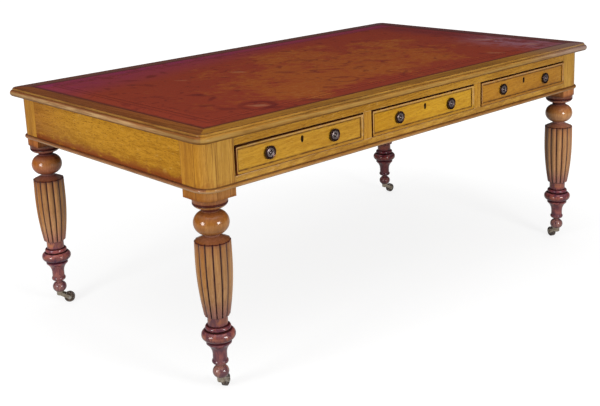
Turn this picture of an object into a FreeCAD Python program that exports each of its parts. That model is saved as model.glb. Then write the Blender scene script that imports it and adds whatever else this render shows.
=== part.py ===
import FreeCAD, Part
import math
import os

# Library table: a moulded oak top with a leather inset on a frieze with three drawers, carried
# by four turned and reeded legs, each on a brass swivel castor.
# Millimetres. +Z is up, +X runs along the table and the drawers face -Y. The origin lies on the
# floor under the middle of the top.

os.makedirs("parts", exist_ok=True)

# Overall sizes
table_length = 1804.0
table_depth = 1060.0
table_height = 762.0
top_overhang = 28.0
frieze_height = 142.0

# Top: moulded border frame, ground boards and leather
top_thickness = 26.0
top_corner_radius = 36.0
border_width = 60.0
nose_radius = 10.0
nose_rise = 9.0
nose_reach = 9.0
upper_round = 5.0
leather_thickness = 1.6
leather_clearance = 0.2
tongue_length = 8.0
tongue_thickness = 8.0

# Joinery
joint_clearance = 0.15
glue_line = 0.1
tenon_thickness = 10.0
tenon_length = 30.0
tenon_shoulder = 6.0
stub_length = 10.0
stub_thickness = 12.0

# Frieze
post_side = 102.0
post_corner_radius = 45.0
rail_thickness = 25.0
front_rail_depth = 48.0
bottom_rail_height = 30.0
top_rail_height = 28.0
muntin_width = 34.0
muntin_depth = 30.0
muntin_tenon_width = 18.0
bead_height = 12.0
bead_reach = 7.0

# Runners, guides, bearers and stops behind the frieze
runner_bearing = 30.0
runner_thickness = 25.0
guide_width = 20.0
guide_rise = 21.0
stop_length = 40.0
stop_depth = 12.0
stop_height = 7.0
stop_spacing = 260.0

# Screws that hold the top down through the bearers
screw_radius = 2.2
screw_head_radius = 4.5
screw_head_height = 4.0
screw_counterbore = 8.0
screw_bite = 14.0
screw_hole_clearance = 0.3
screw_end_distance = 150.0

# Turned leg, upper part, from the post down
post_drop = 24.0
collar_inset = 2.0
collar_height = 16.0
quirk_height = 2.0
quirk_depth = 4.0
ovolo_height = 9.0
ovolo_side = 1.0
ovolo_bulge = 0.18
ball_neck_height = 12.0
ball_neck_radius = 24.0
ball_height = 65.0
ball_radius = 49.7
shoulder_neck_radius = 22.0
shoulder_neck_height = 5.0
shoulder_height = 13.0

# Turned leg, reeded body
reed_count = 14
reed_groove_depth = 5.5
reed_top_radius = 50.0
reed_belly_radius = 51.2
reed_foot_radius = 35.5
reed_belly_place = 0.3
reed_taper_power = 2.0
reed_sections = 10

# Turned leg, lower part, from the castor up
foot_height = 34.0
foot_radius = 23.4
foot_seat_radius = 13.0
foot_neck_radius = 11.0
foot_neck_height = 8.0
foot_ring_height = 13.0
foot_ring_radius = 23.5
waist_radius = 20.3
waist_height = 12.0
cove_height = 37.0
cove_hollow = 0.12
flange_radius = 36.0
flange_height = 5.0
torus_foot_radius = 37.5
torus_step = 6.0
torus_height = 30.0
torus_radius = 48.3
groove_radius = 32.5
small_ring_height = 14.0
small_ring_radius = 36.5
spool_radius = 28.5
spool_height = 25.0
reed_chamfer_height = 4.0

# Drawers
drawer_depth = 560.0
drawer_setback = 2.0
drawer_front_thickness = 20.0
drawer_side_thickness = 11.0
drawer_back_thickness = 10.0
drawer_back_inset = 15.0
drawer_back_drop = 6.0
drawer_bottom_thickness = 6.0
drawer_bottom_rise = 10.0
drawer_groove_depth = 5.0
drawer_side_gap = 3.0
drawer_top_gap = 4.0
drawer_foot_gap = 1.0
drawer_running_gap = 0.3
dovetail_count = 3
dovetail_lap = 6.0
dovetail_root_width = 12.0
dovetail_flare = 3.0
drawer_moulding_width = 8.0
drawer_moulding_proud = 4.0
drawer_moulding_lip = 1.0
drawer_moulding_flat = 2.5
drawer_moulding_bulge = 0.12

# Drawer knobs
knob_spacing = 246.0
knob_radius = 18.6
knob_reach = 8.0
knob_rim_height = 1.6
knob_rim_bulge = 0.6
knob_neck_hollow = 0.16
knob_neck_radius = 8.0
knob_base_radius = 9.5
knob_base_height = 2.2
knob_face_dish = 1.5
knob_face_radius = 14.5
knob_boss_radius = 6.5
knob_spigot_radius = 3.0
knob_spigot_clearance = 0.2
knob_nut_radius = 7.0
knob_nut_height = 4.0

# Drawer locks
lock_width = 60.0
lock_height = 40.0
lock_thickness = 9.0
lock_selvedge_width = 84.0
lock_selvedge_thickness = 2.0
lock_clearance = 0.2
bolt_width = 26.0
bolt_height = 16.0
bolt_thickness = 4.0
bolt_clearance = 0.2
keyhole_rise = 12.5
keyhole_eye_radius = 3.2
keyhole_slot_width = 3.6
keyhole_length = 16.0
key_pin_radius = 1.2
escutcheon_wall = 1.2
escutcheon_depth = 3.0

# Castors
castor_height = 43.0
castor_plate_thickness = 3.0
castor_stem_radius = 4.5
castor_stem_length = 32.0
castor_stem_clearance = 0.1
castor_pintle_radius = 4.0
castor_pintle_fit = 0.05
castor_pintle_head_radius = 6.5
castor_pintle_head_height = 2.5
castor_swivel_gap = 0.3
castor_boss_radius = 12.0
castor_boss_height = 10.5
castor_trail = 30.0
castor_arm_thickness = 3.0
castor_arm_eye_radius = 7.0
wheel_radius = 18.0
wheel_width = 15.0
wheel_edge_round = 2.0
wheel_side_gap = 0.8
wheel_recess_depth = 2.0
wheel_hub_radius = 7.0
wheel_rim_wall = 4.0
axle_radius = 3.0
axle_fit = 0.05
axle_head_radius = 4.5
axle_head_height = 1.5
castor_headings = {"front_left": 31.0, "front_right": 69.0, "back_right": -4.0, "back_left": -32.0}

# Levels and places that follow from the sizes above
half_length = table_length / 2
half_depth = table_depth / 2
face_x = half_length - top_overhang
face_y = half_depth - top_overhang
half_post = post_side / 2
axis_x = face_x - half_post
axis_y = face_y - half_post
clear_x = axis_x - half_post
clear_y = axis_y - half_post
frieze_top = table_height - top_thickness
frieze_bottom = frieze_top - frieze_height
opening_bottom = frieze_bottom + bottom_rail_height
opening_top = frieze_top - top_rail_height
opening_width = (2 * clear_x - 2 * muntin_width) / 3
bay_pitch = opening_width + muntin_width
muntin_x = bay_pitch / 2
post_bottom = frieze_bottom - post_drop
front_inner_y = -face_y + front_rail_depth
back_inner_y = face_y - rail_thickness
front_face = -face_y + drawer_setback
front_back = front_face + drawer_front_thickness
leg_signs = {
    "front_left": (-1, -1),
    "front_right": (1, -1),
    "back_right": (1, 1),
    "back_left": (-1, 1),
}
post_turns = {"front_left": 0, "front_right": 90, "back_right": 180, "back_left": 270}

Z_AXIS = FreeCAD.Vector(0, 0, 1)


def vec(x, y, z=0.0):
    return FreeCAD.Vector(x, y, z)


def box(x0, x1, y0, y1, z0, z1):
    """A block between two opposite corners."""
    return Part.makeBox(x1 - x0, y1 - y0, z1 - z0, vec(x0, y0, z0))


def cylinder(radius, height, base, direction=Z_AXIS):
    return Part.makeCylinder(radius, height, base, direction)


def prism(points, direction):
    """A straight solid on a closed outline of points."""
    return Part.Face(Part.makePolygon(points + [points[0]])).extrude(direction)


def join(shapes):
    """Fuse shapes that make up one piece and drop the seams between them."""
    whole = shapes[0].fuse(shapes[1:]) if len(shapes) > 1 else shapes[0]
    return whole.removeSplitter()


def cut_all(shape, cutters):
    """Cut away the cutters that reach into the shape's box."""
    near = [c for c in cutters if shape.BoundBox.intersect(c.BoundBox)]
    return shape.cut(near) if near else shape


def outline(start, steps):
    """A closed outline in the XZ plane. A step is a point, or a mid point and a point for an arc."""
    edges = []
    here = start
    for step in steps + [(start,)]:
        there = step[-1]
        a = vec(here[0], 0, here[1])
        b = vec(there[0], 0, there[1])
        if len(step) == 2:
            edges.append(Part.Arc(a, vec(step[0][0], 0, step[0][1]), b).toShape())
        elif a.distanceToPoint(b) > 1e-6:
            edges.append(Part.makeLine(a, b))
        here = there
    return Part.Face(Part.Wire(edges))


def turned(start, steps):
    """A solid of revolution about Z from an outline of (radius, height) points."""
    return outline(start, steps).revolve(vec(0, 0), Z_AXIS, 360)


def moved(shape, x=0.0, y=0.0, z=0.0):
    other = shape.copy()
    other.translate(vec(x, y, z))
    return other


def spun(shape, degrees, centre=None):
    """A copy turned about a vertical axis."""
    other = shape.copy()
    other.rotate(centre or vec(0, 0), Z_AXIS, degrees)
    return other


def grown(x0, x1, y0, y1, z0, z1, margin):
    """A block enlarged by a margin on every side, for the recess that takes it."""
    return box(x0 - margin, x1 + margin, y0 - margin, y1 + margin, z0 - margin, z1 + margin)


def export(name, shapes):
    """Write one node, made of one solid or of several separate solids."""
    solids = [s for shape in shapes for s in shape.Solids]
    node = solids[0] if len(solids) == 1 else Part.makeCompound(solids)
    node.exportStep("parts/" + name + ".step")


# Mouldings that run round the table


def moulded_side(section, corner_radius, half_run, half_other):
    """The front side of a moulding, mitred at both ends, with rounded corners.

    The section lies in the XZ plane. Its x is the distance outward from the corner centres.
    """
    run = half_run - corner_radius
    out = half_other - corner_radius
    face = section.copy()
    face.rotate(vec(0, 0), Z_AXIS, -90)
    face.translate(vec(-run, -out, 0))
    straight = face.extrude(vec(2 * run, 0, 0))
    lowest = section.BoundBox.XMin
    highest = section.BoundBox.XMax
    z0 = section.BoundBox.ZMin
    rise = vec(0, 0, section.BoundBox.ZMax - z0)
    outer = section
    if lowest < 0:
        plan = [
            vec(-run - lowest, -out - lowest, z0),
            vec(run + lowest, -out - lowest, z0),
            vec(run, -out, z0),
            vec(run, -out - highest, z0),
            vec(-run, -out - highest, z0),
            vec(-run, -out, z0),
        ]
        straight = straight.common(prism(plan, rise))
        strip = [vec(0, 0, z0), vec(highest, 0, z0), vec(highest, 0, z0 + rise.z), vec(0, 0, z0 + rise.z)]
        outer = section.common(Part.Face(Part.makePolygon(strip + [strip[0]]))).Faces[0]
    corner = outer.copy()
    corner.rotate(vec(0, 0), Z_AXIS, -90)
    corner = corner.revolve(vec(0, 0), Z_AXIS, 45)
    right = moved(corner, run, -out)
    left = right.mirror(vec(0, 0), vec(1, 0))
    return join([straight, right, left])


def four_sides(section, corner_radius, half_x, half_y):
    """The front, back, left and right lengths of a moulding round the table."""
    long_side = moulded_side(section, corner_radius, half_x, half_y)
    short_side = moulded_side(section, corner_radius, half_y, half_x)
    return {
        "front": long_side,
        "back": spun(long_side, 180),
        "left": spun(short_side, -90),
        "right": spun(short_side, 90),
    }


def border_section():
    """Section of the top's border: flat, rounded upper edge, fillet and a projecting nose."""
    nose = top_corner_radius
    inner = nose - border_width
    crown = frieze_top + nose_rise
    nose_centre = nose - nose_radius
    fillet_x = nose - nose_reach
    fillet_z = crown + math.sqrt(nose_radius ** 2 - (fillet_x - nose_centre) ** 2)
    under_x = nose_centre + math.sqrt(nose_radius ** 2 - nose_rise ** 2)
    round_x = fillet_x - upper_round * (1 - math.sin(math.pi / 4))
    round_z = table_height - upper_round * (1 - math.sin(math.pi / 4))
    middle = frieze_top + (top_thickness - leather_thickness) / 2
    groove_low = middle - tongue_thickness / 2 - joint_clearance
    groove_high = middle + tongue_thickness / 2 + joint_clearance
    groove_x = inner + tongue_length + joint_clearance
    return outline((inner, frieze_top), [
        ((under_x, frieze_top),),
        ((nose, crown), (fillet_x, fillet_z)),
        ((fillet_x, table_height - upper_round),),
        ((round_x, round_z), (fillet_x - upper_round, table_height)),
        ((inner, table_height),),
        ((inner, groove_high),),
        ((groove_x, groove_high),),
        ((groove_x, groove_low),),
        ((inner, groove_low),),
    ])


def bead_section():
    """Half-round bead on the lower edge of the frieze, a glue line off the post's round corner."""
    back = post_corner_radius + glue_line
    middle = frieze_bottom + bead_height / 2
    return outline((back, frieze_bottom), [
        ((back + bead_reach, middle), (back, frieze_bottom + bead_height)),
    ])


# Joinery of the frieze: each tenon is a block, and its mortise is the same block grown by a clearance

tenon_offset = (rail_thickness - tenon_thickness) / 2
post_mortises = []
rail_mortises = []


def tenon(taker, x0, x1, y0, y1, z0, z1):
    """A tenon block, whose mortise is noted in the list of the pieces that take it."""
    taker.append(grown(x0, x1, y0, y1, z0, z1, joint_clearance))
    return box(x0, x1, y0, y1, z0, z1)


def long_rail(side, depth, z0, z1):
    """A rail along X between two posts, flush with their outer faces. Side -1 is the front."""
    y_out = side * face_y
    y_in = y_out - side * depth
    body = box(-clear_x, clear_x, min(y_out, y_in), max(y_out, y_in), z0, z1)
    t_out = y_out - side * tenon_offset
    t_in = t_out - side * tenon_thickness
    low = z0 + tenon_shoulder
    high = z1 - tenon_shoulder
    ends = []
    for sign in (-1, 1):
        x_in = sign * clear_x
        x_end = sign * (clear_x + tenon_length)
        ends.append(tenon(post_mortises, min(x_in, x_end), max(x_in, x_end),
                          min(t_out, t_in), max(t_out, t_in), low, high))
    return join([body] + ends)


def end_rail(side):
    """A rail along Y between a front and a back post. Side -1 is the left end."""
    x_out = side * face_x
    x_in = x_out - side * rail_thickness
    body = box(min(x_out, x_in), max(x_out, x_in), -clear_y, clear_y, frieze_bottom, frieze_top)
    t_out = x_out - side * tenon_offset
    t_in = t_out - side * tenon_thickness
    low = frieze_bottom + tenon_shoulder
    high = frieze_top - tenon_shoulder
    ends = []
    for sign in (-1, 1):
        y_in = sign * clear_y
        y_end = sign * (clear_y + tenon_length)
        ends.append(tenon(post_mortises, min(t_out, t_in), max(t_out, t_in),
                          min(y_in, y_end), max(y_in, y_end), low, high))
    return join([body] + ends)


def muntin(x):
    """An upright between two drawers, with a stub tenon into each front rail."""
    body = box(x - muntin_width / 2, x + muntin_width / 2, -face_y, -face_y + muntin_depth,
               opening_bottom, opening_top)
    half = muntin_tenon_width / 2
    y0 = -face_y + tenon_offset
    y1 = y0 + tenon_thickness
    foot = tenon(rail_mortises, x - half, x + half, y0, y1, opening_bottom - stub_length, opening_bottom)
    head = tenon(rail_mortises, x - half, x + half, y0, y1, opening_top, opening_top + stub_length)
    return join([body, foot, head])


def cross_bar(x0, x1, z0, z1):
    """A bar from the front rail to the back rail, with a stub tenon at each end."""
    body = box(x0, x1, front_inner_y, back_inner_y, z0, z1)
    low = (z0 + z1 - stub_thickness) / 2
    high = low + stub_thickness
    left = x0 + tenon_shoulder
    right = x1 - tenon_shoulder
    front = tenon(rail_mortises, left, right, front_inner_y - stub_length, front_inner_y, low, high)
    back = tenon(rail_mortises, left, right, back_inner_y, back_inner_y + stub_length, low, high)
    return join([body, front, back])


bar_spans = [
    (-clear_x, -clear_x + runner_bearing),
    (-muntin_x - muntin_width / 2 - runner_bearing, -muntin_x + muntin_width / 2 + runner_bearing),
    (muntin_x - muntin_width / 2 - runner_bearing, muntin_x + muntin_width / 2 + runner_bearing),
    (clear_x - runner_bearing, clear_x),
]

end_rails = {"left": end_rail(-1), "right": end_rail(1)}
back_rail = long_rail(1, rail_thickness, frieze_bottom, frieze_top)
front_bottom_rail = long_rail(-1, front_rail_depth, frieze_bottom, opening_bottom)
front_top_rail = long_rail(-1, front_rail_depth, opening_top, frieze_top)
muntins = {"left": muntin(-muntin_x), "right": muntin(muntin_x)}
runners = [cross_bar(x0, x1, opening_bottom - runner_thickness, opening_bottom) for x0, x1 in bar_spans]
bearers = [cross_bar(x0, x1, opening_top, frieze_top) for x0, x1 in bar_spans]


def drawer_guides():
    """Strips beside the drawer sides: on the middle runners, and between the posts at the ends."""
    top = opening_bottom + guide_rise
    middle = [
        box(x - muntin_width / 2, x + muntin_width / 2, -face_y + muntin_depth, back_inner_y,
            opening_bottom, top)
        for x in (-muntin_x, muntin_x)
    ]
    low = opening_bottom - runner_thickness
    left = box(-clear_x - guide_width, -clear_x, -clear_y, clear_y, low, top)
    right = box(clear_x, clear_x + guide_width, -clear_y, clear_y, low, top)
    return [left] + middle + [right]


def drawer_stops():
    """Two blocks on the bottom rail and runners' line behind each drawer front."""
    y0 = front_back + drawer_running_gap
    stops = []
    for bay in (-1, 0, 1):
        for side in (-1, 1):
            x = bay * bay_pitch + side * stop_spacing / 2
            stops.append(box(x - stop_length / 2, x + stop_length / 2, y0, y0 + stop_depth,
                             opening_bottom, opening_bottom + stop_height))
    return stops


def screw_points():
    """Two screws in each bearer, at equal distances from its ends."""
    places = []
    for x0, x1 in bar_spans:
        for y in (front_inner_y + screw_end_distance, back_inner_y - screw_end_distance):
            places.append(((x0 + x1) / 2, y))
    return places


def top_screw(x, y, margin):
    """A wood screw from a counterbored bearer up into the top's ground boards."""
    head_z = opening_top + screw_counterbore
    shank = cylinder(screw_radius + margin, frieze_top + screw_bite + margin - head_z, vec(x, y, head_z))
    head = cylinder(screw_head_radius + margin, screw_head_height, vec(x, y, head_z))
    return join([shank, head])


def screw_hole(x, y):
    """The hole for a screw, open to the bearer's underside."""
    bore = cylinder(screw_head_radius + screw_hole_clearance, screw_counterbore + screw_head_height,
                    vec(x, y, opening_top))
    return join([bore, top_screw(x, y, screw_hole_clearance)])


top_screws = [top_screw(x, y, 0.0) for x, y in screw_points()]
screw_holes = [screw_hole(x, y) for x, y in screw_points()]


# Top


def top_panel():
    """Ground boards under the leather, tongued into the border on all four sides."""
    reach_x = half_length - border_width - joint_clearance
    reach_y = half_depth - border_width - joint_clearance
    top = table_height - leather_thickness
    boards = box(-reach_x, reach_x, -reach_y, reach_y, frieze_top, top)
    middle = (frieze_top + top) / 2
    tongue = box(-reach_x - tongue_length, reach_x + tongue_length, -reach_y - tongue_length,
                 reach_y + tongue_length, middle - tongue_thickness / 2, middle + tongue_thickness / 2)
    return cut_all(join([boards, tongue]), screw_holes)


def leather_inset():
    """The writing leather, laid on the ground boards flush with the border."""
    reach_x = half_length - border_width - leather_clearance
    reach_y = half_depth - border_width - leather_clearance
    return box(-reach_x, reach_x, -reach_y, reach_y, table_height - leather_thickness, table_height)


# Legs


def reed_radius(share):
    """Radius over the reeds: full at the belly, a little less at the top and drawn in to the foot."""
    if share < reed_belly_place:
        part = (reed_belly_place - share) / reed_belly_place
        return reed_belly_radius - (reed_belly_radius - reed_top_radius) * part ** 2
    part = (share - reed_belly_place) / (1 - reed_belly_place)
    return reed_belly_radius - (reed_belly_radius - reed_foot_radius) * part ** reed_taper_power


def reed_outline(radius, z):
    """A ring of convex reeds that meet in sharp grooves."""
    pitch = 2 * math.pi / reed_count

    def spot(r, step):
        return vec(r * math.cos(step * pitch), r * math.sin(step * pitch), z)

    low = radius - reed_groove_depth
    arcs = [Part.Arc(spot(low, i), spot(radius, i + 0.5), spot(low, i + 1)) for i in range(reed_count)]
    return Part.Wire([arc.toShape() for arc in arcs])


# Levels of the leg from the floor up and from the frieze down; the reeded body takes what is left
foot_top = castor_height + foot_height
foot_ring_bottom = foot_top + foot_neck_height
foot_ring_top = foot_ring_bottom + foot_ring_height
cove_bottom = foot_ring_top + waist_height
flange_bottom = cove_bottom + cove_height
flange_top = flange_bottom + flange_height
torus_bottom = flange_top + torus_step
torus_top = torus_bottom + torus_height
small_ring_top = torus_top + small_ring_height
spool_top = small_ring_top + spool_height
collar_bottom = post_bottom - collar_height
quirk_bottom = collar_bottom - quirk_height
ovolo_bottom = quirk_bottom - ovolo_height
ball_top = ovolo_bottom - ball_neck_height
ball_bottom = ball_top - ball_height
shoulder_top = ball_bottom - shoulder_neck_height
collar_radius = half_post - collar_inset


def arc_mid(a, b, bulge):
    """The mid point of an arc from a to b, bulging sideways by a share of the chord."""
    return ((a[0] + b[0]) / 2 + bulge * (b[1] - a[1]), (a[1] + b[1]) / 2 - bulge * (b[0] - a[0]))


def upper_turning():
    """Collar, quirk, ovolo, ball and neck under the post."""
    quirk_radius = collar_radius - quirk_depth
    ovolo_radius = collar_radius - ovolo_side
    ovolo_foot = (ball_neck_radius, ovolo_bottom)
    ovolo_edge = (ovolo_radius, quirk_bottom)
    return turned((0, shoulder_top), [
        ((shoulder_neck_radius, shoulder_top),),
        ((shoulder_neck_radius, ball_bottom),),
        ((ball_radius, (ball_bottom + ball_top) / 2), (ball_neck_radius, ball_top)),
        (ovolo_foot,),
        (arc_mid(ovolo_foot, ovolo_edge, ovolo_bulge), ovolo_edge),
        ((quirk_radius, quirk_bottom),),
        ((quirk_radius, collar_bottom),),
        ((collar_radius, collar_bottom),),
        ((collar_radius, post_bottom),),
        ((0, post_bottom),),
    ])


def reeded_body():
    """Reeded swelling body between a conical shoulder and a chamfered foot."""
    rings = []
    for i in range(reed_sections):
        share = i / (reed_sections - 1)
        z = shoulder_top + (spool_top - shoulder_top) * share
        rings.append(reed_outline(reed_radius(share), z))
    body = Part.makeLoft(rings, True, False)
    outer = reed_belly_radius + reed_groove_depth
    shoulder_slope = shoulder_height / (reed_top_radius - shoulder_neck_radius)
    chamfer_slope = reed_chamfer_height / (reed_foot_radius - spool_radius)
    envelope = turned((0, spool_top), [
        ((spool_radius, spool_top),),
        ((outer, spool_top + (outer - spool_radius) * chamfer_slope),),
        ((outer, shoulder_top - (outer - shoulder_neck_radius) * shoulder_slope),),
        ((shoulder_neck_radius, shoulder_top),),
        ((0, shoulder_top),),
    ])
    return body.common(envelope)


def lower_turning():
    """Foot ball, neck, ring, waist, cove, flange, torus, small ring and spool."""
    cove_low = (waist_radius, cove_bottom)
    cove_high = (flange_radius, flange_bottom)
    torus_low = (torus_foot_radius, torus_bottom)
    return turned((0, castor_height), [
        ((foot_seat_radius, castor_height),),
        ((foot_radius, (castor_height + foot_top) / 2), (foot_neck_radius, foot_top)),
        ((foot_neck_radius, foot_ring_bottom),),
        ((foot_ring_radius, (foot_ring_bottom + foot_ring_top) / 2), (waist_radius, foot_ring_top)),
        (cove_low,),
        (arc_mid(cove_low, cove_high, -cove_hollow), cove_high),
        ((flange_radius, flange_top),),
        (torus_low,),
        ((torus_radius, (torus_bottom + torus_top) / 2), (groove_radius, torus_top)),
        ((small_ring_radius, (torus_top + small_ring_top) / 2), (spool_radius, small_ring_top)),
        ((spool_radius, spool_top),),
        ((0, spool_top),),
    ])


def post():
    """Square head of a leg, with its outer corner rounded, about the leg's axis."""
    h = half_post
    r = post_corner_radius
    diagonal = -h + r * (1 - math.cos(math.pi / 4))
    arc = Part.Arc(vec(-h, -h + r), vec(diagonal, diagonal), vec(-h + r, -h)).toShape()
    rest = Part.makePolygon([vec(-h + r, -h), vec(h, -h), vec(h, h), vec(-h, h), vec(-h, -h + r)])
    face = Part.Face(Part.Wire([arc] + rest.Edges))
    face.translate(vec(0, 0, post_bottom))
    return face.extrude(vec(0, 0, frieze_top - post_bottom))


turning = join([upper_turning(), reeded_body(), lower_turning()])
stem_hole = cylinder(castor_stem_radius + castor_stem_clearance, castor_stem_length + castor_stem_clearance,
                     vec(0, 0, castor_height))


def leg(name):
    """One leg: the post and the turning are a single piece of oak, mortised for the rails."""
    sx, sy = leg_signs[name]
    whole = join([spun(post(), post_turns[name]), turning]).cut(stem_hole)
    return cut_all(moved(whole, sx * axis_x, sy * axis_y), post_mortises)


# Castors, built about the swivel axis with the wheel trailing towards +X

arm_y = wheel_width / 2 + wheel_side_gap
boss_top = castor_height - castor_plate_thickness - castor_swivel_gap
boss_bottom = boss_top - castor_boss_height


def castor_plate():
    """Round plate with a screwed stem in the foot and a riveted pintle below."""
    plate_z = castor_height - castor_plate_thickness
    head_z = boss_bottom - castor_swivel_gap - castor_pintle_head_height
    plate = cylinder(foot_seat_radius, castor_plate_thickness, vec(0, 0, plate_z))
    stem = cylinder(castor_stem_radius, castor_stem_length, vec(0, 0, castor_height))
    pintle = cylinder(castor_pintle_radius, plate_z - head_z, vec(0, 0, head_z))
    head = cylinder(castor_pintle_head_radius, castor_pintle_head_height, vec(0, 0, head_z))
    return join([plate, stem, pintle, head])


def castor_arm(side):
    """One cheek of the horn, from the boss down to the axle's eye."""
    z_boss = (boss_top + boss_bottom) / 2
    r_boss = castor_boss_height / 2
    dx = castor_trail
    dz = wheel_radius - z_boss
    tilt = math.atan2(dz, dx)
    lean = math.acos((r_boss - castor_arm_eye_radius) / math.hypot(dx, dz))
    outline_points = []
    for angle in (tilt + lean, tilt - lean):
        start = vec(r_boss * math.cos(angle), 0, z_boss + r_boss * math.sin(angle))
        end = vec(dx + castor_arm_eye_radius * math.cos(angle), 0,
                  wheel_radius + castor_arm_eye_radius * math.sin(angle))
        outline_points.append((start, end))
    (a, b), (d, c) = outline_points
    y0 = arm_y if side > 0 else -arm_y - castor_arm_thickness
    web = prism([a, b, c, d], vec(0, castor_arm_thickness, 0))
    across = vec(0, 1, 0)
    eye = cylinder(castor_arm_eye_radius, castor_arm_thickness, vec(dx, 0, wheel_radius), across)
    root = cylinder(r_boss, castor_arm_thickness, vec(0, 0, z_boss), across)
    return moved(join([web, eye, root]), 0, y0)


def castor_horn():
    """Brass horn: a boss on the pintle and two cheeks beside the wheel."""
    boss = cylinder(castor_boss_radius, castor_boss_height, vec(0, 0, boss_bottom))
    bore = cylinder(castor_pintle_radius + castor_pintle_fit, castor_boss_height, vec(0, 0, boss_bottom))
    reach = 2 * (arm_y + castor_arm_thickness)
    eye = cylinder(axle_radius + axle_fit, reach, vec(castor_trail, -reach / 2, wheel_radius), vec(0, 1, 0))
    return join([boss, castor_arm(-1), castor_arm(1)]).cut([bore, eye])


def castor_axle():
    """Steel pin through the cheeks, headed on both ends."""
    across = vec(0, 1, 0)
    reach = arm_y + castor_arm_thickness
    pin = cylinder(axle_radius, 2 * reach, vec(castor_trail, -reach, wheel_radius), across)
    heads = [
        cylinder(axle_head_radius, axle_head_height, vec(castor_trail, y, wheel_radius), across)
        for y in (-reach - axle_head_height, reach)
    ]
    return join([pin] + heads)


def castor_wheel():
    """Wheel with rounded tread edges, a dished side each way and a bored hub."""
    half = wheel_width / 2
    e = wheel_edge_round
    diagonal = e * (1 - math.sin(math.pi / 4))
    rim = wheel_radius - wheel_rim_wall
    bore = axle_radius + axle_fit
    section = outline((bore, -half), [
        ((wheel_hub_radius, -half),),
        ((wheel_hub_radius, -half + wheel_recess_depth),),
        ((rim, -half + wheel_recess_depth),),
        ((rim, -half),),
        ((wheel_radius - e, -half),),
        ((wheel_radius - diagonal, -half + diagonal), (wheel_radius, -half + e)),
        ((wheel_radius, half - e),),
        ((wheel_radius - diagonal, half - diagonal), (wheel_radius - e, half)),
        ((rim, half),),
        ((rim, half - wheel_recess_depth),),
        ((wheel_hub_radius, half - wheel_recess_depth),),
        ((wheel_hub_radius, half),),
        ((bore, half),),
    ])
    wheel = section.revolve(vec(0, 0), Z_AXIS, 360)
    wheel.rotate(vec(0, 0), vec(1, 0), 90)
    return moved(wheel, castor_trail, 0, wheel_radius)


def at_castor(shape, name):
    """Place a castor piece under its leg, turned to the way that castor lies."""
    sx, sy = leg_signs[name]
    return moved(spun(shape, castor_headings[name]), sx * axis_x, sy * axis_y)


# Drawers, built in the middle bay

front_half = opening_width / 2 - drawer_side_gap
front_low = opening_bottom + drawer_foot_gap
front_high = opening_top - drawer_top_gap
side_low = opening_bottom + drawer_running_gap
side_inner = front_half - drawer_side_thickness
bottom_low = side_low + drawer_bottom_rise
bottom_high = bottom_low + drawer_bottom_thickness
drawer_end = front_face + drawer_depth
knob_z = (front_low + front_high) / 2
keyhole_z = knob_z + keyhole_rise


def dovetail(side, index, margin):
    """A tail of a drawer side, widening towards the drawer's face."""
    height = front_high - front_low
    z = front_low + height * (index + 0.5) / dovetail_count
    root = dovetail_root_width / 2 + margin
    tip = root + dovetail_flare
    y0 = front_face + dovetail_lap - margin
    x0 = side_inner - margin if side > 0 else -front_half
    points = [
        vec(x0, front_back, z - root),
        vec(x0, front_back, z + root),
        vec(x0, y0, z + tip),
        vec(x0, y0, z - tip),
    ]
    return prism(points, vec(drawer_side_thickness + margin, 0, 0))


def drawer_side(side):
    """A drawer side with tails at the front, a groove for the bottom and a housing for the back."""
    x0 = side_inner if side > 0 else -front_half
    board = box(x0, x0 + drawer_side_thickness, front_back, drawer_end, side_low, front_high)
    tails = [dovetail(side, i, 0.0) for i in range(dovetail_count)]
    return join([board] + tails).cut([bottom_slot(), back_slot()])


def bottom_slot():
    """The groove that takes the drawer bottom, run out at the back."""
    reach = side_inner + drawer_groove_depth
    return box(-reach, reach, front_back - drawer_groove_depth, drawer_end + drawer_groove_depth,
               bottom_low - joint_clearance, bottom_high + joint_clearance)


def back_slot():
    """The housing that takes the drawer back."""
    reach = side_inner + drawer_groove_depth
    y1 = drawer_end - drawer_back_inset
    return box(-reach, reach, y1 - drawer_back_thickness - joint_clearance, y1 + joint_clearance,
               bottom_high, front_high)


def drawer_back():
    reach = side_inner + drawer_groove_depth - joint_clearance
    y1 = drawer_end - drawer_back_inset
    return box(-reach, reach, y1 - drawer_back_thickness, y1, bottom_high, front_high - drawer_back_drop)


def drawer_bottom():
    reach = side_inner + drawer_groove_depth - joint_clearance
    y0 = front_back - drawer_groove_depth + joint_clearance
    return box(-reach, reach, y0, drawer_end, bottom_low, bottom_high)


def keyhole(margin, y0, y1):
    """An upright keyhole, a round eye over a slot, through the thickness from y0 to y1."""
    radius = keyhole_eye_radius + margin
    eye_z = keyhole_z + keyhole_length / 2 - keyhole_eye_radius
    eye = cylinder(radius, y1 - y0, vec(0, y0, eye_z), vec(0, 1, 0))
    half = keyhole_slot_width / 2 + margin
    slot = box(-half, half, y0, y1, keyhole_z - keyhole_length / 2 - margin, eye_z)
    return join([eye, slot])


def lock_body(margin):
    """Lock case let into the drawer front's inner face, with its top plate let into the upper edge."""
    half = lock_width / 2 + margin
    case = box(-half, half, front_back - lock_thickness - margin, front_back,
               front_high - lock_height - margin, front_high)
    edge = lock_selvedge_width / 2 + margin
    plate = box(-edge, edge, front_back - lock_thickness - margin, front_back,
                front_high - lock_selvedge_thickness - margin, front_high)
    return join([case, plate])


def bolt(margin):
    """The lock's bolt, drawn back flush with the top plate."""
    half = bolt_width / 2 + margin
    y = front_back - lock_thickness / 2
    return box(-half, half, y - bolt_thickness / 2 - margin, y + bolt_thickness / 2 + margin,
               front_high - bolt_height - margin, front_high)


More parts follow.
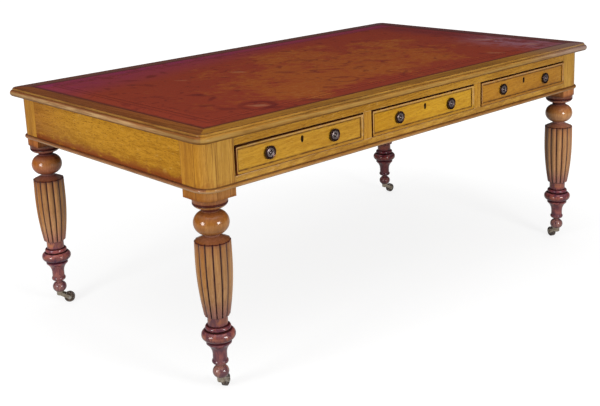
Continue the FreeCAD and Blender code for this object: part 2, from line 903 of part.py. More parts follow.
def lock_set():
    """Lock case with a key pin, its bolt, and the thread escutcheon that lines the keyhole."""
    entry_y = front_back - lock_thickness
    eye_z = keyhole_z + keyhole_length / 2 - keyhole_eye_radius
    well_depth = (lock_thickness - bolt_thickness) / 2 - bolt_clearance - escutcheon_wall
    well = keyhole(0.0, entry_y, entry_y + well_depth)
    pin = cylinder(key_pin_radius, well_depth, vec(0, entry_y, eye_z), vec(0, 1, 0))
    case = join([lock_body(0.0).cut([bolt(bolt_clearance), well]), pin])
    ring = keyhole(escutcheon_wall, front_face, front_face + escutcheon_depth)
    ring = ring.cut(keyhole(0.0, front_face, front_face + escutcheon_depth))
    return [case, bolt(0.0), ring]


def knob():
    """Turned brass knob with a ringed face, on a spigot through the drawer front."""
    lip = knob_reach - knob_rim_height
    low = (knob_neck_radius, knob_base_height)
    rim = (knob_radius, lip)
    body = turned((0, 0), [
        ((knob_base_radius, 0),),
        (low,),
        (arc_mid(low, rim, -knob_neck_hollow), rim),
        ((knob_radius + knob_rim_bulge, lip + knob_rim_height / 2), (knob_radius, knob_reach)),
        ((knob_face_radius, knob_reach),),
        ((knob_face_radius, knob_reach - knob_face_dish),),
        ((knob_boss_radius, knob_reach - knob_face_dish),),
        ((knob_boss_radius, knob_reach),),
        ((0, knob_reach),),
    ])
    length = drawer_front_thickness + knob_nut_height
    spigot = cylinder(knob_spigot_radius, length, vec(0, 0, -length))
    return join([body, spigot])


def knob_nut():
    """Round nut on the spigot behind the drawer front."""
    outer = cylinder(knob_nut_radius, knob_nut_height, vec(0, 0, -drawer_front_thickness - knob_nut_height))
    bore = cylinder(knob_spigot_radius + joint_clearance, knob_nut_height,
                    vec(0, 0, -drawer_front_thickness - knob_nut_height))
    return outer.cut(bore)


def at_knob(shape, side):
    """Place a knob piece on the drawer front, facing -Y."""
    placed = shape.copy()
    placed.rotate(vec(0, 0), vec(1, 0), 90)
    return moved(placed, side * knob_spacing / 2, front_face, knob_z)


def drawer_front():
    """Drawer front, socketed for the sides and the lock and bored for knobs and key."""
    board = box(-front_half, front_half, front_face, front_back, front_low, front_high)
    sockets = [dovetail(s, i, joint_clearance) for s in (-1, 1) for i in range(dovetail_count)]
    holes = [
        cylinder(knob_spigot_radius + knob_spigot_clearance, drawer_front_thickness,
                 vec(s * knob_spacing / 2, front_face, knob_z), vec(0, 1, 0))
        for s in (-1, 1)
    ]
    key = [
        keyhole(0.0, front_face, front_back),
        keyhole(escutcheon_wall + joint_clearance, front_face, front_face + escutcheon_depth),
    ]
    inside = box(-side_inner, side_inner, front_face, front_back, front_low, front_high)
    groove = bottom_slot().common(inside)
    return board.cut(sockets + holes + key + [lock_body(lock_clearance), groove])


def moulding_strip(length):
    """A strip of the drawer's edge moulding along X, mitred at both ends, with its outer edge down."""
    w = drawer_moulding_width
    p = drawer_moulding_proud
    flat = drawer_moulding_flat
    round_start = (p, flat)
    round_end = (drawer_moulding_lip, w)
    face = outline((0, 0), [
        ((p, 0),),
        (round_start,),
        (arc_mid(round_start, round_end, drawer_moulding_bulge), round_end),
        ((0, w),),
    ])
    face.rotate(vec(0, 0), Z_AXIS, -90)
    face.translate(vec(-length / 2, 0))
    strip = face.extrude(vec(length, 0, 0))
    half = length / 2
    plan = [vec(-half, -p, 0), vec(half, -p, 0), vec(half - w, -p, w), vec(-half + w, -p, w)]
    return strip.common(prism(plan, vec(0, p, 0)))


def drawer_moulding():
    """Four mitred strips round the edge of a drawer front."""
    height = front_high - front_low
    middle = vec(0, front_face, knob_z)
    strips = []
    for turn, length, drop in ((0, 2 * front_half, height), (180, 2 * front_half, height),
                               (90, height, 2 * front_half), (270, height, 2 * front_half)):
        strip = moved(moulding_strip(length), 0, 0, -drop / 2)
        strip.rotate(vec(0, 0), vec(0, 1, 0), turn)
        strips.append(moved(strip, 0, middle.y, middle.z))
    return strips


drawer_nodes = {
    "front": [drawer_front()],
    "moulding": drawer_moulding(),
    "sides": [drawer_side(-1), drawer_side(1)],
    "back": [drawer_back()],
    "bottom": [drawer_bottom()],
    "knobs": [at_knob(shape, s) for s in (-1, 1) for shape in (knob(), knob_nut())],
    "lock": lock_set(),
}

# Write the nodes

export("top_panel", [top_panel()])
export("leather_inset", [leather_inset()])
for side, piece in four_sides(border_section(), top_corner_radius, half_length, half_depth).items():
    export("top_border_" + side, [piece])
for side, piece in four_sides(bead_section(), post_corner_radius, face_x, face_y).items():
    export("frieze_bead_" + side, [piece])
for name in leg_signs:
    export("leg_" + name, [leg(name)])
for side, piece in end_rails.items():
    export("end_rail_" + side, [piece])
export("back_rail", [cut_all(back_rail, rail_mortises)])
export("front_top_rail", [cut_all(front_top_rail, rail_mortises)])
export("front_bottom_rail", [cut_all(front_bottom_rail, rail_mortises)])
for side, piece in muntins.items():
    export("drawer_muntin_" + side, [piece])
export("drawer_runners", runners)
export("drawer_guides", drawer_guides())
export("drawer_stops", drawer_stops())
export("top_bearers", [cut_all(bar, screw_holes) for bar in bearers])
export("top_screws", top_screws)
export("castor_plates", [at_castor(castor_plate(), name) for name in leg_signs])
for name in leg_signs:
    export("castor_horn_" + name, [at_castor(castor_horn(), name)])
    export("castor_axle_" + name, [at_castor(castor_axle(), name)])
    export("castor_wheel_" + name, [at_castor(castor_wheel(), name)])
for bay, place in (("left", -1), ("centre", 0), ("right", 1)):
    for node, shapes in drawer_nodes.items():
        export("drawer_" + bay + "_" + node, [moved(s, place * bay_pitch) for s in shapes])
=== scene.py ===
import math

import bmesh
import bpy
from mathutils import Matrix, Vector


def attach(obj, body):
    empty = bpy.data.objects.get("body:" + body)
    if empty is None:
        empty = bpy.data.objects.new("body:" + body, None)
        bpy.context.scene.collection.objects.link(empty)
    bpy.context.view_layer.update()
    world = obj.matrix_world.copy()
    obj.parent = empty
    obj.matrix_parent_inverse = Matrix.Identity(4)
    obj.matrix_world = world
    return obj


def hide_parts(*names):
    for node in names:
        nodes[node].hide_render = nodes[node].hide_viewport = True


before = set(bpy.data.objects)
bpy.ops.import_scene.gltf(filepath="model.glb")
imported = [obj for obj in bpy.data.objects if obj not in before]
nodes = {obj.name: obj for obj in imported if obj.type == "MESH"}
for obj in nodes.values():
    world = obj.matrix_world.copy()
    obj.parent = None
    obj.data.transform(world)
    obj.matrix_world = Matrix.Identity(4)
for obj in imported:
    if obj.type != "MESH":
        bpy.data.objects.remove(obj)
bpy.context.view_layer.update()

# Legs. Four oak legs, each turned from one baulk that stays square at the head as the frieze's post.
# Under it come a collar, a ball, fourteen reeds and a slender foot, French polished, with old dark
# polish and painted shade in the quirks and between the reeds.

LEG_NAMES = ("front_left", "front_right", "back_right", "back_left")
LEG_SPREAD = (0.823, 0.451)
FOOT_HEAD = 0.230
REED_FOOT, REED_HEAD = 0.229, 0.447
REED_COUNT = 14
POST_FOOT = 0.570
POST_END_FACE = (0.8600, 0.8735)
POST_ROUNDING = (0.030, 0.042)
FRIEZE_FOOT, FRIEZE_HEAD = 0.606, 0.736
QUIRKS = (
    (0.1522, 0.1572), (0.1870, 0.1890), (0.2010, 0.2032),
    (0.4465, 0.4485), (0.5330, 0.5420), (0.5530, 0.5592),
)
QUIRK_BLUR, REED_BLUR, MIDDLE_BLUR = 0.001, 0.002, 0.1
FAR_CORNER_FADE, STREAKS_FADE, CRACKS_FADE = (0.30, 0.22), (0.556, 0.600), (0.560, 0.575)
STAIN_RISE, TOP_SHADOW_DROP = 0.045, 0.014

GOLD, GOLD_DARK = (0.52, 0.262, 0.022), (0.33, 0.145, 0.010)
PORE_BROWN, PORE_BLACK = (0.20, 0.072, 0.008), (0.07, 0.025, 0.006)
RAY_FLECK = (0.60, 0.36, 0.09)
# Old dark polish and painted shade where the surface is shut in.
GRIME_AND_SHADE_BLACK = (0.026, 0.010, 0.007)
RUBBED_PALE = (0.56, 0.36, 0.13)
STAIN_AND_SHADOW_RED, STAIN_LINE = (0.20, 0.036, 0.010), (0.050, 0.014, 0.008)
QUIRK_POLISH_AND_SHADE, GROOVE_POLISH_AND_SHADE = (0.042, 0.005, 0.007), (0.046, 0.011, 0.022)
STREAK_BROWN, CRACK_BROWN = (0.25, 0.085, 0.014), (0.12, 0.038, 0.008)
POST_END_PAINTED_SHADE, POST_ROUND_SHADE = (0.98, 0.82, 0.42), (0.90, 0.78, 0.74)
FOOT_SHADE, FOOT_CLOUDED = (1.20, 1.16, 0.98), (0.056, 0.014, 0.034)
FAR_CORNER_PAINTED_SHADOW = (0.58, 0.40, 0.44)
# Shades by height, from the reeds to the post, and the foot's colours below the reeds. Both hold painted
# shade under the ball, round the collar and under the torus, and the raised blue of the shades is partly a
# painted sheen.
TURNING_TONES_AND_PAINTED_SHADE = (
    (0.226, (0.48, 0.41, 4.00)), (0.246, (0.60, 0.53, 4.50)), (0.290, (0.86, 0.90, 4.40)),
    (0.400, (0.88, 0.90, 3.60)), (0.436, (0.78, 0.70, 2.40)), (0.447, (0.52, 0.38, 1.60)),
    (0.458, (0.68, 0.52, 3.00)), (0.467, (0.50, 0.28, 1.40)), (0.478, (0.78, 0.68, 2.40)),
    (0.500, (0.80, 0.70, 1.90)), (0.516, (0.68, 0.50, 1.20)), (0.532, (0.56, 0.36, 1.40)),
    (0.546, (1.06, 0.94, 3.60)), (0.560, (0.50, 0.32, 0.60)), (0.570, (0.58, 0.42, 0.80)),
    (0.578, (0.82, 0.76, 2.90)), (0.598, (0.88, 0.84, 2.80)), (FRIEZE_FOOT, (1.10, 1.22, 2.90)),
    (FRIEZE_HEAD, (1.09, 1.20, 2.60)),
)
FOOT_COLOURS_AND_PAINTED_SHADE = (
    (0.043, (0.235, 0.110, 0.100)), (0.070, (0.250, 0.118, 0.108)), (0.085, (0.200, 0.070, 0.066)),
    (0.096, (0.125, 0.040, 0.052)), (0.110, (0.180, 0.058, 0.062)), (0.130, (0.165, 0.046, 0.056)),
    (0.147, (0.180, 0.056, 0.064)), (0.158, (0.085, 0.020, 0.040)), (0.173, (0.235, 0.078, 0.052)),
    (0.187, (0.190, 0.054, 0.058)), (0.196, (0.145, 0.032, 0.038)), (0.204, (0.165, 0.046, 0.046)),
    (0.215, (0.225, 0.080, 0.044)), (FOOT_HEAD, (0.190, 0.066, 0.052)),
)
# The legs are shaded apart with painted light and shade, for how the light falls on each. These shades are
# for all but the front left leg, for the two on the right, and for the back left one.
OTHER_LEGS_PAINTED_SHADES = (
    (0.530, (1.24, 1.20, 1.22)), (0.546, (0.92, 0.86, 1.40)), (0.556, (0.80, 0.58, 0.80)),
    (0.566, (0.60, 0.46, 0.80)), (0.576, (1.12, 0.92, 1.05)), (0.592, (1.20, 1.02, 1.10)),
    (FRIEZE_FOOT, (1, 1, 1)),
)
RIGHT_LEGS_PAINTED_SHADES = (
    (0.085, (0.76, 0.79, 0.82)), (0.098, (1, 1, 0.98)), (0.140, (1.16, 1.12, 0.85)),
    (0.190, (0.92, 0.82, 0.98)), (FOOT_HEAD, (1, 1, 1)), (0.440, (0.90, 0.88, 0.94)),
    (0.461, (1.05, 1.22, 1.75)), (0.540, (1.04, 1.10, 1.60)), (0.560, (1, 1, 1)),
)
BACK_LEFT_PAINTED_SHADES = (
    (0.088, (0.92, 0.92, 0.96)), (0.100, (1.28, 1.34, 1.10)), (0.147, (1.24, 1.24, 1.06)),
    (0.158, (0.55, 0.55, 1.10)), (0.175, (0.82, 0.82, 0.96)), (0.190, (1.42, 1.60, 1.50)),
    (0.240, (1.20, 1.20, 1.00)), (0.300, (0.96, 0.94, 0.92)), (0.440, (0.86, 0.83, 0.75)),
    (0.461, (0.66, 0.62, 0.95)), (0.484, (0.90, 0.66, 0.90)), (0.515, (1.14, 1.16, 1.60)),
    (0.535, (0.88, 0.72, 1.30)), (0.560, (1, 1, 1)),
)


class Field:
    """A number, colour or place that changes over a surface: one output of a shader node."""

    def __init__(self, socket):
        self.socket = socket

    def __getitem__(self, axis):
        return add("SeparateXYZ", {0: self}, axis)

    def __add__(self, other):
        return figure("ADD", self, other)

    def __sub__(self, other):
        return figure("SUBTRACT", self, other)

    def __rsub__(self, other):
        return figure("SUBTRACT", other, self)

    def __mul__(self, other):
        return figure("MULTIPLY", self, other)

    def __abs__(self):
        return figure("ABSOLUTE", self)


def feed(made, inputs):
    """Put fields, numbers and colours on a node's inputs."""
    for label, value in inputs.items():
        socket = made.inputs[label]
        if isinstance(value, Field):
            made.id_data.links.new(value.socket, socket)
        elif socket.type == "RGBA":
            socket.default_value = (*value, 1)
        else:
            socket.default_value = value


def add(kind, inputs, output=0, tree=None, **settings):
    """One output of a new shader node, in the tree given or in that of its inputs' fields."""
    tree = tree or next(value.socket.id_data for value in inputs.values() if isinstance(value, Field))
    made = tree.nodes.new("ShaderNode" + kind)
    for label, value in settings.items():
        setattr(made, label, value)
    feed(made, inputs)
    return Field(made.outputs[output])


def figure(operation, *values):
    """One sum on fields and numbers, or on places where the last value is a triple."""
    kind = "VectorMath" if isinstance(values[-1], tuple) else "Math"
    return add(kind, dict(enumerate(values)), operation=operation)


def span(value, low, high, to_low=0.0, to_high=1.0):
    """A value spread from one range to another, eased at both ends."""
    inputs = {"Value": value, "From Min": low, "From Max": high, "To Min": to_low, "To Max": to_high}
    return add("MapRange", inputs, interpolation_type="SMOOTHSTEP")


def band(value, start, full, fading, end):
    """A share that grows from start to full, and goes again from fading to end."""
    return span(value, start, full) * span(value, end, fading)


def blend(share, first, second, how="MIX"):
    """Two colours mixed by a share."""
    return add("Mix", {0: share, 6: first, 7: second}, 2, data_type="RGBA", blend_type=how)


def shaded(colour, shade, share=1.0):
    """A colour multiplied by a shade, by a share."""
    return blend(share, colour, shade, "MULTIPLY")


def noise(vector, detail=3.0, roughness=0.55, distortion=0.0):
    """Cloudy noise, one cloud to a unit of the coordinates given."""
    inputs = {"Vector": vector, "Scale": 1.0, "Detail": detail, "Roughness": roughness,
              "Distortion": distortion}
    return add("TexNoise", inputs, "Fac")


def ramp(value, stops):
    """Colours along a value, from stops of place and colour."""
    low, high = stops[0][0], stops[-1][0]
    along = add("MapRange", {"Value": value, "From Min": low, "From Max": high})
    colours = add("ValToRGB", {"Fac": along}, "Color")
    elements = colours.socket.node.color_ramp.elements
    elements[0].color = (*stops[0][1], 1)
    elements[1].color = (*stops[-1][1], 1)
    for place, colour in stops[1:-1]:
        elements.new((place - low) / (high - low)).color = (*colour, 1)
    return colours


def swung(vector, turn):
    """A place swung about the origin."""
    return add("Mapping", {"Vector": vector, "Rotation": turn})


def bump(height, strength, distance):
    """The surface's normal, made uneven by a height."""
    return add("Bump", {"Height": height, "Strength": strength, "Distance": distance})


def new_group(name, inputs, outputs):
    """An empty shader node group, with its inputs as fields by name, and its output node."""
    group = bpy.data.node_groups.new(name, "ShaderNodeTree")
    for in_out, sockets in (("INPUT", inputs), ("OUTPUT", outputs)):
        for label, kind in sockets.items():
            group.interface.new_socket(label, in_out=in_out, socket_type="NodeSocket" + kind)
    given = group.nodes.new("NodeGroupInput").outputs
    return group, {label: Field(given[label]) for label in inputs}, group.nodes.new("NodeGroupOutput")


def use_group(group, inputs):
    """A node group placed in a material, with its outputs as fields by name."""
    made = add("Group", inputs, node_tree=group).socket.node
    return {socket.name: Field(socket) for socket in made.outputs}


def oak_grain_group():
    """Oak with its grain along X: growth rings cut at a slant, streaks, short dark pores and ray flecks."""
    group, given, out = new_group(
        "oak_grain",
        {"Vector": "Vector", "Light": "Color", "Dark": "Color", "Rings": "Float", "Pores": "Float",
         "Flecks": "Float"},
        {"Color": "Color", "Roughness": "Float", "Height": "Float"},
    )
    place = given["Vector"]
    ring_inputs = {"Vector": place * (0.12, 1, 1), "Scale": 62.0, "Distortion": 10.0, "Detail": 3.0,
                   "Detail Scale": 0.4, "Detail Roughness": 0.65}
    rings = add("TexWave", ring_inputs, "Fac", wave_type="RINGS", rings_direction="X")
    bands = noise(place * (1.6, 15, 15), detail=2.0, roughness=0.5, distortion=0.6)
    streaks = noise(place * (7, 130, 130), detail=4.0, roughness=0.62, distortion=0.5)
    threads = noise(place * (16, 420, 420), detail=2.0, roughness=0.6)
    dashes = span(noise(place * (42, 240, 240), roughness=0.6, distortion=0.4), 0.55, 0.70)
    pores = span(noise(place * (48, 980, 980), detail=1.0, roughness=0.5), 0.6, 0.72)
    flecks = span(noise(place * (55, 210, 120), detail=2.0, roughness=0.5, distortion=0.8), 0.62, 0.7)
    tone = bands * 0.8 + streaks * 0.75 + threads * 0.4 + (rings - 0.5) * given["Rings"]
    colour = blend(span(tone, 0.68, 1.26), given["Dark"], given["Light"])
    pore_share = pores * given["Pores"]
    colour = blend(dashes * (given["Pores"] * 0.7), colour, PORE_BROWN)
    colour = blend(pore_share, colour, PORE_BLACK)
    colour = blend(flecks * given["Flecks"], colour, RAY_FLECK)
    rough = span(streaks, 0.3, 0.7, 0.46, 0.34) + pores * 0.25
    feed(out, {"Color": colour, "Roughness": rough, "Height": streaks * 0.25 - pore_share})
    return group


def grime_and_shade_group():
    """Old dark polish and painted shade, a share growing where the surface is shut in, broken by cloudy wear.
    """
    group, given, out = new_group("grime_and_shade", {"Vector": "Vector", "Openness": "Float"}, {"Share": "Float"})
    clouds = noise(given["Vector"] * (26, 26, 26))
    shut = span(given["Openness"], 0.9, 0.42)
    feed(out, {"Share": shut * span(clouds, 0.15, 0.6, 0.75, 1.0)})
    return group


def edge_wear_group():
    """Edges that hands have rubbed pale in patches."""
    inputs = {"Vector": "Vector", "Color": "Color", "Rubbed": "Float"}
    group, given, out = new_group("edge_wear", inputs, {"Color": "Color"})
    patchy = span(noise(given["Vector"] * (30, 30, 30)), 0.3, 0.65, 0.10, 0.60)
    feed(out, {"Color": blend(given["Rubbed"] * patchy, given["Color"], RUBBED_PALE)})
    return group


def frieze_stain_and_shadow_group():
    """Red-brown old polish in patches above the bead, a painted shadow in red-brown patches under the top,
    and a dark line along the bead.
    """
    inputs = {"Vector": "Vector", "Color": "Color", "Patches": "Float", "Line": "Float"}
    group, given, out = new_group("frieze_stain_and_shadow", inputs, {"Color": "Color"})
    height = given["Vector"]["Z"]
    clouds = noise(given["Vector"] * (22, 22, 44), detail=4.0, roughness=0.65, distortion=0.5)
    above = span(height, FRIEZE_FOOT - 0.001, FRIEZE_FOOT)
    low = span(height, FRIEZE_FOOT + STAIN_RISE, FRIEZE_FOOT) * above
    # Under the top the red-brown is a painted shadow of the top's overhang.
    high = span(height, FRIEZE_HEAD - TOP_SHADOW_DROP, FRIEZE_HEAD - 0.001) * 0.9
    near = figure("MAXIMUM", low, high) * given["Patches"]
    patches = span(clouds + near * 0.34, 0.54, 0.76) * near
    colour = blend(patches, given["Color"], STAIN_AND_SHADOW_RED)
    line = span(height, FRIEZE_FOOT + 0.0026, FRIEZE_FOOT + 0.001) * above * given["Line"]
    feed(out, {"Color": blend(line, colour, STAIN_LINE)})
    return group


OAK_GRAIN = oak_grain_group()
GRIME_AND_SHADE = grime_and_shade_group()
EDGE_WEAR = edge_wear_group()
FRIEZE_STAIN_AND_SHADOW = frieze_stain_and_shadow_group()
ALONG_X = (0.0, math.radians(0.8), math.radians(4.0))
ALONG_Y = (0.0, math.radians(0.8), math.radians(-94.0))
ALONG_Z = (0.0, math.radians(86), 0.0)
SHEEN = 0.3
POLISH_ROUGHNESS = 0.15


def new_material(name):
    """A material, its bare Principled shader and its Object coordinates."""
    material = bpy.data.materials.new(name)
    material.use_nodes = True
    place = add("TexCoord", {}, "Object", material.node_tree)
    return material, material.node_tree.nodes["Principled BSDF"], place


def openness(material, reach):
    """How open the surface is to the air around it, within a reach."""
    return add("AmbientOcclusion", {"Distance": reach}, "AO", material.node_tree, samples=8, only_local=True)


def oak(name, turn, heart, light, dark, polish, rings, pores, flecks, reach=0.012, tint=None, coat=None):
    """Polished oak. Turn lays the grain round the heart of the tree, polish sets the sheen and the weight of
    the clear coat, tint recolours by place, and coat gives the clear coat's weight by place."""
    material, shader, place = new_material(name)
    grain_inputs = {"Vector": swung(place - heart, turn), "Light": light, "Dark": dark, "Rings": rings,
                    "Pores": pores, "Flecks": flecks}
    grain = use_group(OAK_GRAIN, grain_inputs)
    rubbed = add("Attribute", {}, "Fac", material.node_tree, attribute_name="rubbed")
    colour = use_group(EDGE_WEAR, {"Vector": place, "Color": grain["Color"], "Rubbed": rubbed})["Color"]
    if tint:
        colour = tint(place, colour)
    # Darker where the surface is shut in: old dark polish and painted shade.
    grime_and_shade = use_group(GRIME_AND_SHADE, {"Vector": place, "Openness": openness(material, reach)})["Share"]
    feed(shader, {
        "Base Color": blend(grime_and_shade, colour, GRIME_AND_SHADE_BLACK),
        "Roughness": grain["Roughness"],
        "Specular IOR Level": SHEEN * polish,
        "Coat Weight": polish,
        "Coat Roughness": POLISH_ROUGHNESS,
        "Normal": bump(grain["Height"], 0.25, 0.0006),
    })
    if coat:
        feed(shader, {"Coat Weight": coat(place)})
    return material


def frieze_stained_and_shaded(place, colour, patches, line):
    """A colour with the frieze's stain over it, and the painted shadow under the top."""
    inputs = {"Vector": place, "Color": colour, "Patches": patches, "Line": line}
    return use_group(FRIEZE_STAIN_AND_SHADOW, inputs)["Color"]


def in_quirks(height):
    """A share that is full in the quirks between the turnings."""
    share = 0.0
    for low, high in QUIRKS:
        share = figure("MAXIMUM", share, band(height, low - QUIRK_BLUR, low, high, high + QUIRK_BLUR))
    return share


def leg_tint(place, colour):
    """Each turning has its own tone with painted shade and sheen, the legs are shaded apart with painted
    light and shade, quirks and grooves are dark with old polish and painted shade, and the post is streaked
    and cracked, with painted shade on its end faces.
    """
    height = place["Z"]
    # Tone by height, with painted shade under the ball and round the collar and a painted bluish sheen.
    colour = shaded(colour, ramp(height, TURNING_TONES_AND_PAINTED_SHADE))
    # The post's end faces are shaded apart from its front faces: painted shade for how the light falls on
    # them.
    colour = shaded(colour, POST_END_PAINTED_SHADE, span(abs(place["X"]), *POST_END_FACE))
    clouds = noise(place * (62, 62, 34), roughness=0.6, distortion=0.6)
    # The foot's colours, with painted shade under the torus.
    foot = shaded(ramp(height, FOOT_COLOURS_AND_PAINTED_SHADE), FOOT_SHADE)
    foot = blend(span(clouds, 0.38, 0.66, 0.0, 0.78), foot, FOOT_CLOUDED)
    colour = blend(span(height, FOOT_HEAD, FOOT_HEAD - 0.0045), colour, foot)
    right = span(place["X"], -MIDDLE_BLUR, MIDDLE_BLUR)
    back = span(place["Y"], -MIDDLE_BLUR, MIDDLE_BLUR)
    # Painted light and shade, leg by leg, for how the light falls on each.
    colour = shaded(colour, ramp(height, OTHER_LEGS_PAINTED_SHADES), figure("MAXIMUM", right, back))
    colour = shaded(colour, ramp(height, RIGHT_LEGS_PAINTED_SHADES), right)
    colour = shaded(colour, ramp(height, BACK_LEFT_PAINTED_SHADES), back - right)
    # A painted shadow on the back right leg's foot.
    colour = shaded(colour, FAR_CORNER_PAINTED_SHADOW, right * back * span(height, *FAR_CORNER_FADE))
    # The quirks are dark with old polish and painted shade.
    colour = blend(in_quirks(height) * 0.88, colour, QUIRK_POLISH_AND_SHADE)
    east = abs(place["X"]) - LEG_SPREAD[0]
    north = abs(place["Y"]) - LEG_SPREAD[1]
    trough = figure("COSINE", figure("ARCTAN2", north, east) * REED_COUNT)
    groove = figure("MAXIMUM", span(trough, 0.78, 0.95), span(trough, 0.20, 0.85, 0.0, 0.30))
    reeded = band(height, REED_FOOT - REED_BLUR, REED_FOOT, REED_HEAD - REED_BLUR, REED_HEAD)
    # The grooves between the reeds are dark with old polish and painted shade.
    colour = blend(groove * reeded, colour, GROOVE_POLISH_AND_SHADE)
    streaks = span(noise(place * (150, 150, 6), detail=5.0, roughness=0.7, distortion=0.6), 0.52, 0.72)
    colour = blend(streaks * span(height, *STREAKS_FADE) * 0.75, colour, STREAK_BROWN)
    rounded = span(east, *POST_ROUNDING) * span(north, *POST_ROUNDING)
    rounded = rounded * span(height, FRIEZE_FOOT - 0.002, FRIEZE_FOOT + 0.006)
    colour = shaded(colour, POST_ROUND_SHADE, rounded)
    cracks = span(noise(place * (230, 230, 2.6), detail=2.0, roughness=0.5), 0.63, 0.70)
    colour = blend(cracks * span(height, *CRACKS_FADE) * 0.60, colour, CRACK_BROWN)
    return frieze_stained_and_shaded(place, colour, patches=0.3, line=0.6)


def leg_coat(place):
    """The turnings shine but for their quirks, and the post is as dull as the rails beside it."""
    height = place["Z"]
    return span(height, POST_FOOT + 0.004, POST_FOOT - 0.004, 0.06, 0.75) * (1.0 - in_quirks(height))


def dress(name, material):
    """Give a CAD node's object a finish."""
    for slot in nodes[name].material_slots:
        slot.material = material


leg_oak = oak("leg_oak", ALONG_Z, (0, 0, 0), GOLD, GOLD_DARK, polish=0.20, rings=0.0, pores=0.4, flecks=0.05,
              reach=0.006, tint=leg_tint, coat=leg_coat)
for leg_name in LEG_NAMES:
    dress("leg_" + leg_name, leg_oak)

# Frieze. Oak rails tenoned into the posts flush with their faces: one at each end, one at the back, and
# two along the front with an upright between each pair of drawers. Their sharp edges are planed off and
# rubbed pale, and the inside of the drawer openings is darkened with painted shade.

EASED_EDGE = 0.0007
SHORTEST_EASED = 0.004
SHARP_TURN = math.radians(35)
FLAT_TURN = math.radians(1.5)
SMOOTH_TURN = math.radians(30)
FACE_Y = 0.502
POST_INNER = (0.772, 0.400)
END_LIGHT, END_DARK = (0.53, 0.254, 0.022), (0.33, 0.138, 0.010)
FRONT_JOINT, END_JOINT = (0.085, 0.034, 0.012), (0.12, 0.045, 0.012)
OPENING_PAINTED_SHADE = (0.090, 0.021, 0.004)
FRONT_RIGHT_SHADE, END_BACK_SHADE, BACK_SHADE = (1.20, 1.20, 1.10), (0.84, 0.68, 0.55), (1.06, 1.12, 1.6)
LOWER_RAIL_SHADE, UPRIGHT_SHADE, UPPER_RAIL_SHADE = (0.95, 1.02, 2.10), (1, 1, 1.5), (0.92, 0.92, 1.20)
BOARD_SHADES = (
    (0.600, LOWER_RAIL_SHADE), (0.622, LOWER_RAIL_SHADE), (0.627, UPRIGHT_SHADE),
    (0.705, UPRIGHT_SHADE), (0.709, UPPER_RAIL_SHADE), (FRIEZE_HEAD, UPPER_RAIL_SHADE),
)


def joint_line(along, post_inner, share):
    """The dark line where a rail meets its posts."""
    return span(abs(along), post_inner - 0.0022, post_inner - 0.0006, 0.0, share)


def board_tint(place, colour):
    """Stained above the bead with a painted shadow under the top, and darkened with painted shade behind the
    front face, inside the drawer openings.
    """
    colour = shaded(colour, ramp(place["Z"], BOARD_SHADES))
    colour = shaded(colour, FRONT_RIGHT_SHADE, span(place["X"], 0.20, 0.70))
    colour = frieze_stained_and_shaded(place, colour, patches=0.15, line=0.7)
    colour = blend(joint_line(place["X"], POST_INNER[0], 0.8), colour, FRONT_JOINT)
    # Painted shade inside the drawer openings, behind the front face.
    inside = span(abs(place["Y"]), FACE_Y - 0.0012, FACE_Y - 0.003)
    return blend(inside * 0.92, colour, OPENING_PAINTED_SHADE)


def end_tint(place, colour):
    """Stained above the bead with a painted shadow under the top, and redder towards the back post."""
    colour = shaded(colour, END_BACK_SHADE, span(place["Y"], 0.10, 0.46))
    colour = blend(joint_line(place["Y"], POST_INNER[1], 0.45), colour, END_JOINT)
    return frieze_stained_and_shaded(place, colour, patches=0.88, line=0.5)


def back_tint(place, colour):
    """Stained above the bead with a painted shadow under the top, like the front."""
    return frieze_stained_and_shaded(place, shaded(colour, BACK_SHADE), patches=0.4, line=0.6)


def copied(piece, name):
    """A copy of a piece with a mesh of its own, left as the only one selected."""
    copy = bpy.data.objects.new(name, piece.data.copy())
    bpy.context.collection.objects.link(copy)
    bpy.ops.object.select_all(action="DESELECT")
    copy.select_set(True)
    bpy.context.view_layer.objects.active = copy
    return copy


def eased(name, body, material):
    """A copy of a board whose long sharp edges are planed off and marked as rubbed, in place of the node."""
    board = copied(nodes[name], name + "_eased")
    board.data.materials.clear()
    board.data.materials.append(material)
    board.data.materials.append(material)
    bpy.ops.mesh.customdata_custom_splitnormals_clear()
    bpy.ops.object.mode_set(mode="EDIT")
    bpy.ops.mesh.select_all(action="SELECT")
    bpy.ops.mesh.remove_doubles(threshold=0.00001)
    bpy.ops.mesh.dissolve_limited(angle_limit=FLAT_TURN)
    bpy.ops.mesh.select_mode(type="EDGE")
    bpy.ops.mesh.select_all(action="DESELECT")
    shape = bmesh.from_edit_mesh(board.data)
    for edge in shape.edges:
        if len(edge.link_faces) == 2 and edge.calc_length() > SHORTEST_EASED:
            edge.select = edge.calc_face_angle_signed() > SHARP_TURN
    bmesh.update_edit_mesh(board.data)
    # The planed faces go in the second material slot, which marks them as rubbed.
    bpy.ops.mesh.bevel(offset=EASED_EDGE, segments=2, affect="EDGES", clamp_overlap=True, material=1)
    bpy.ops.object.mode_set(mode="OBJECT")
    rubbed = board.data.attributes.new("rubbed", "FLOAT", "FACE")
    for polygon in board.data.polygons:
        rubbed.data[polygon.index].value = float(polygon.material_index)
        polygon.material_index = 0
    board.data.materials.pop(index=1)
    bpy.ops.object.shade_smooth_by_angle(angle=SMOOTH_TURN)
    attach(board, body)
    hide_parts(name)


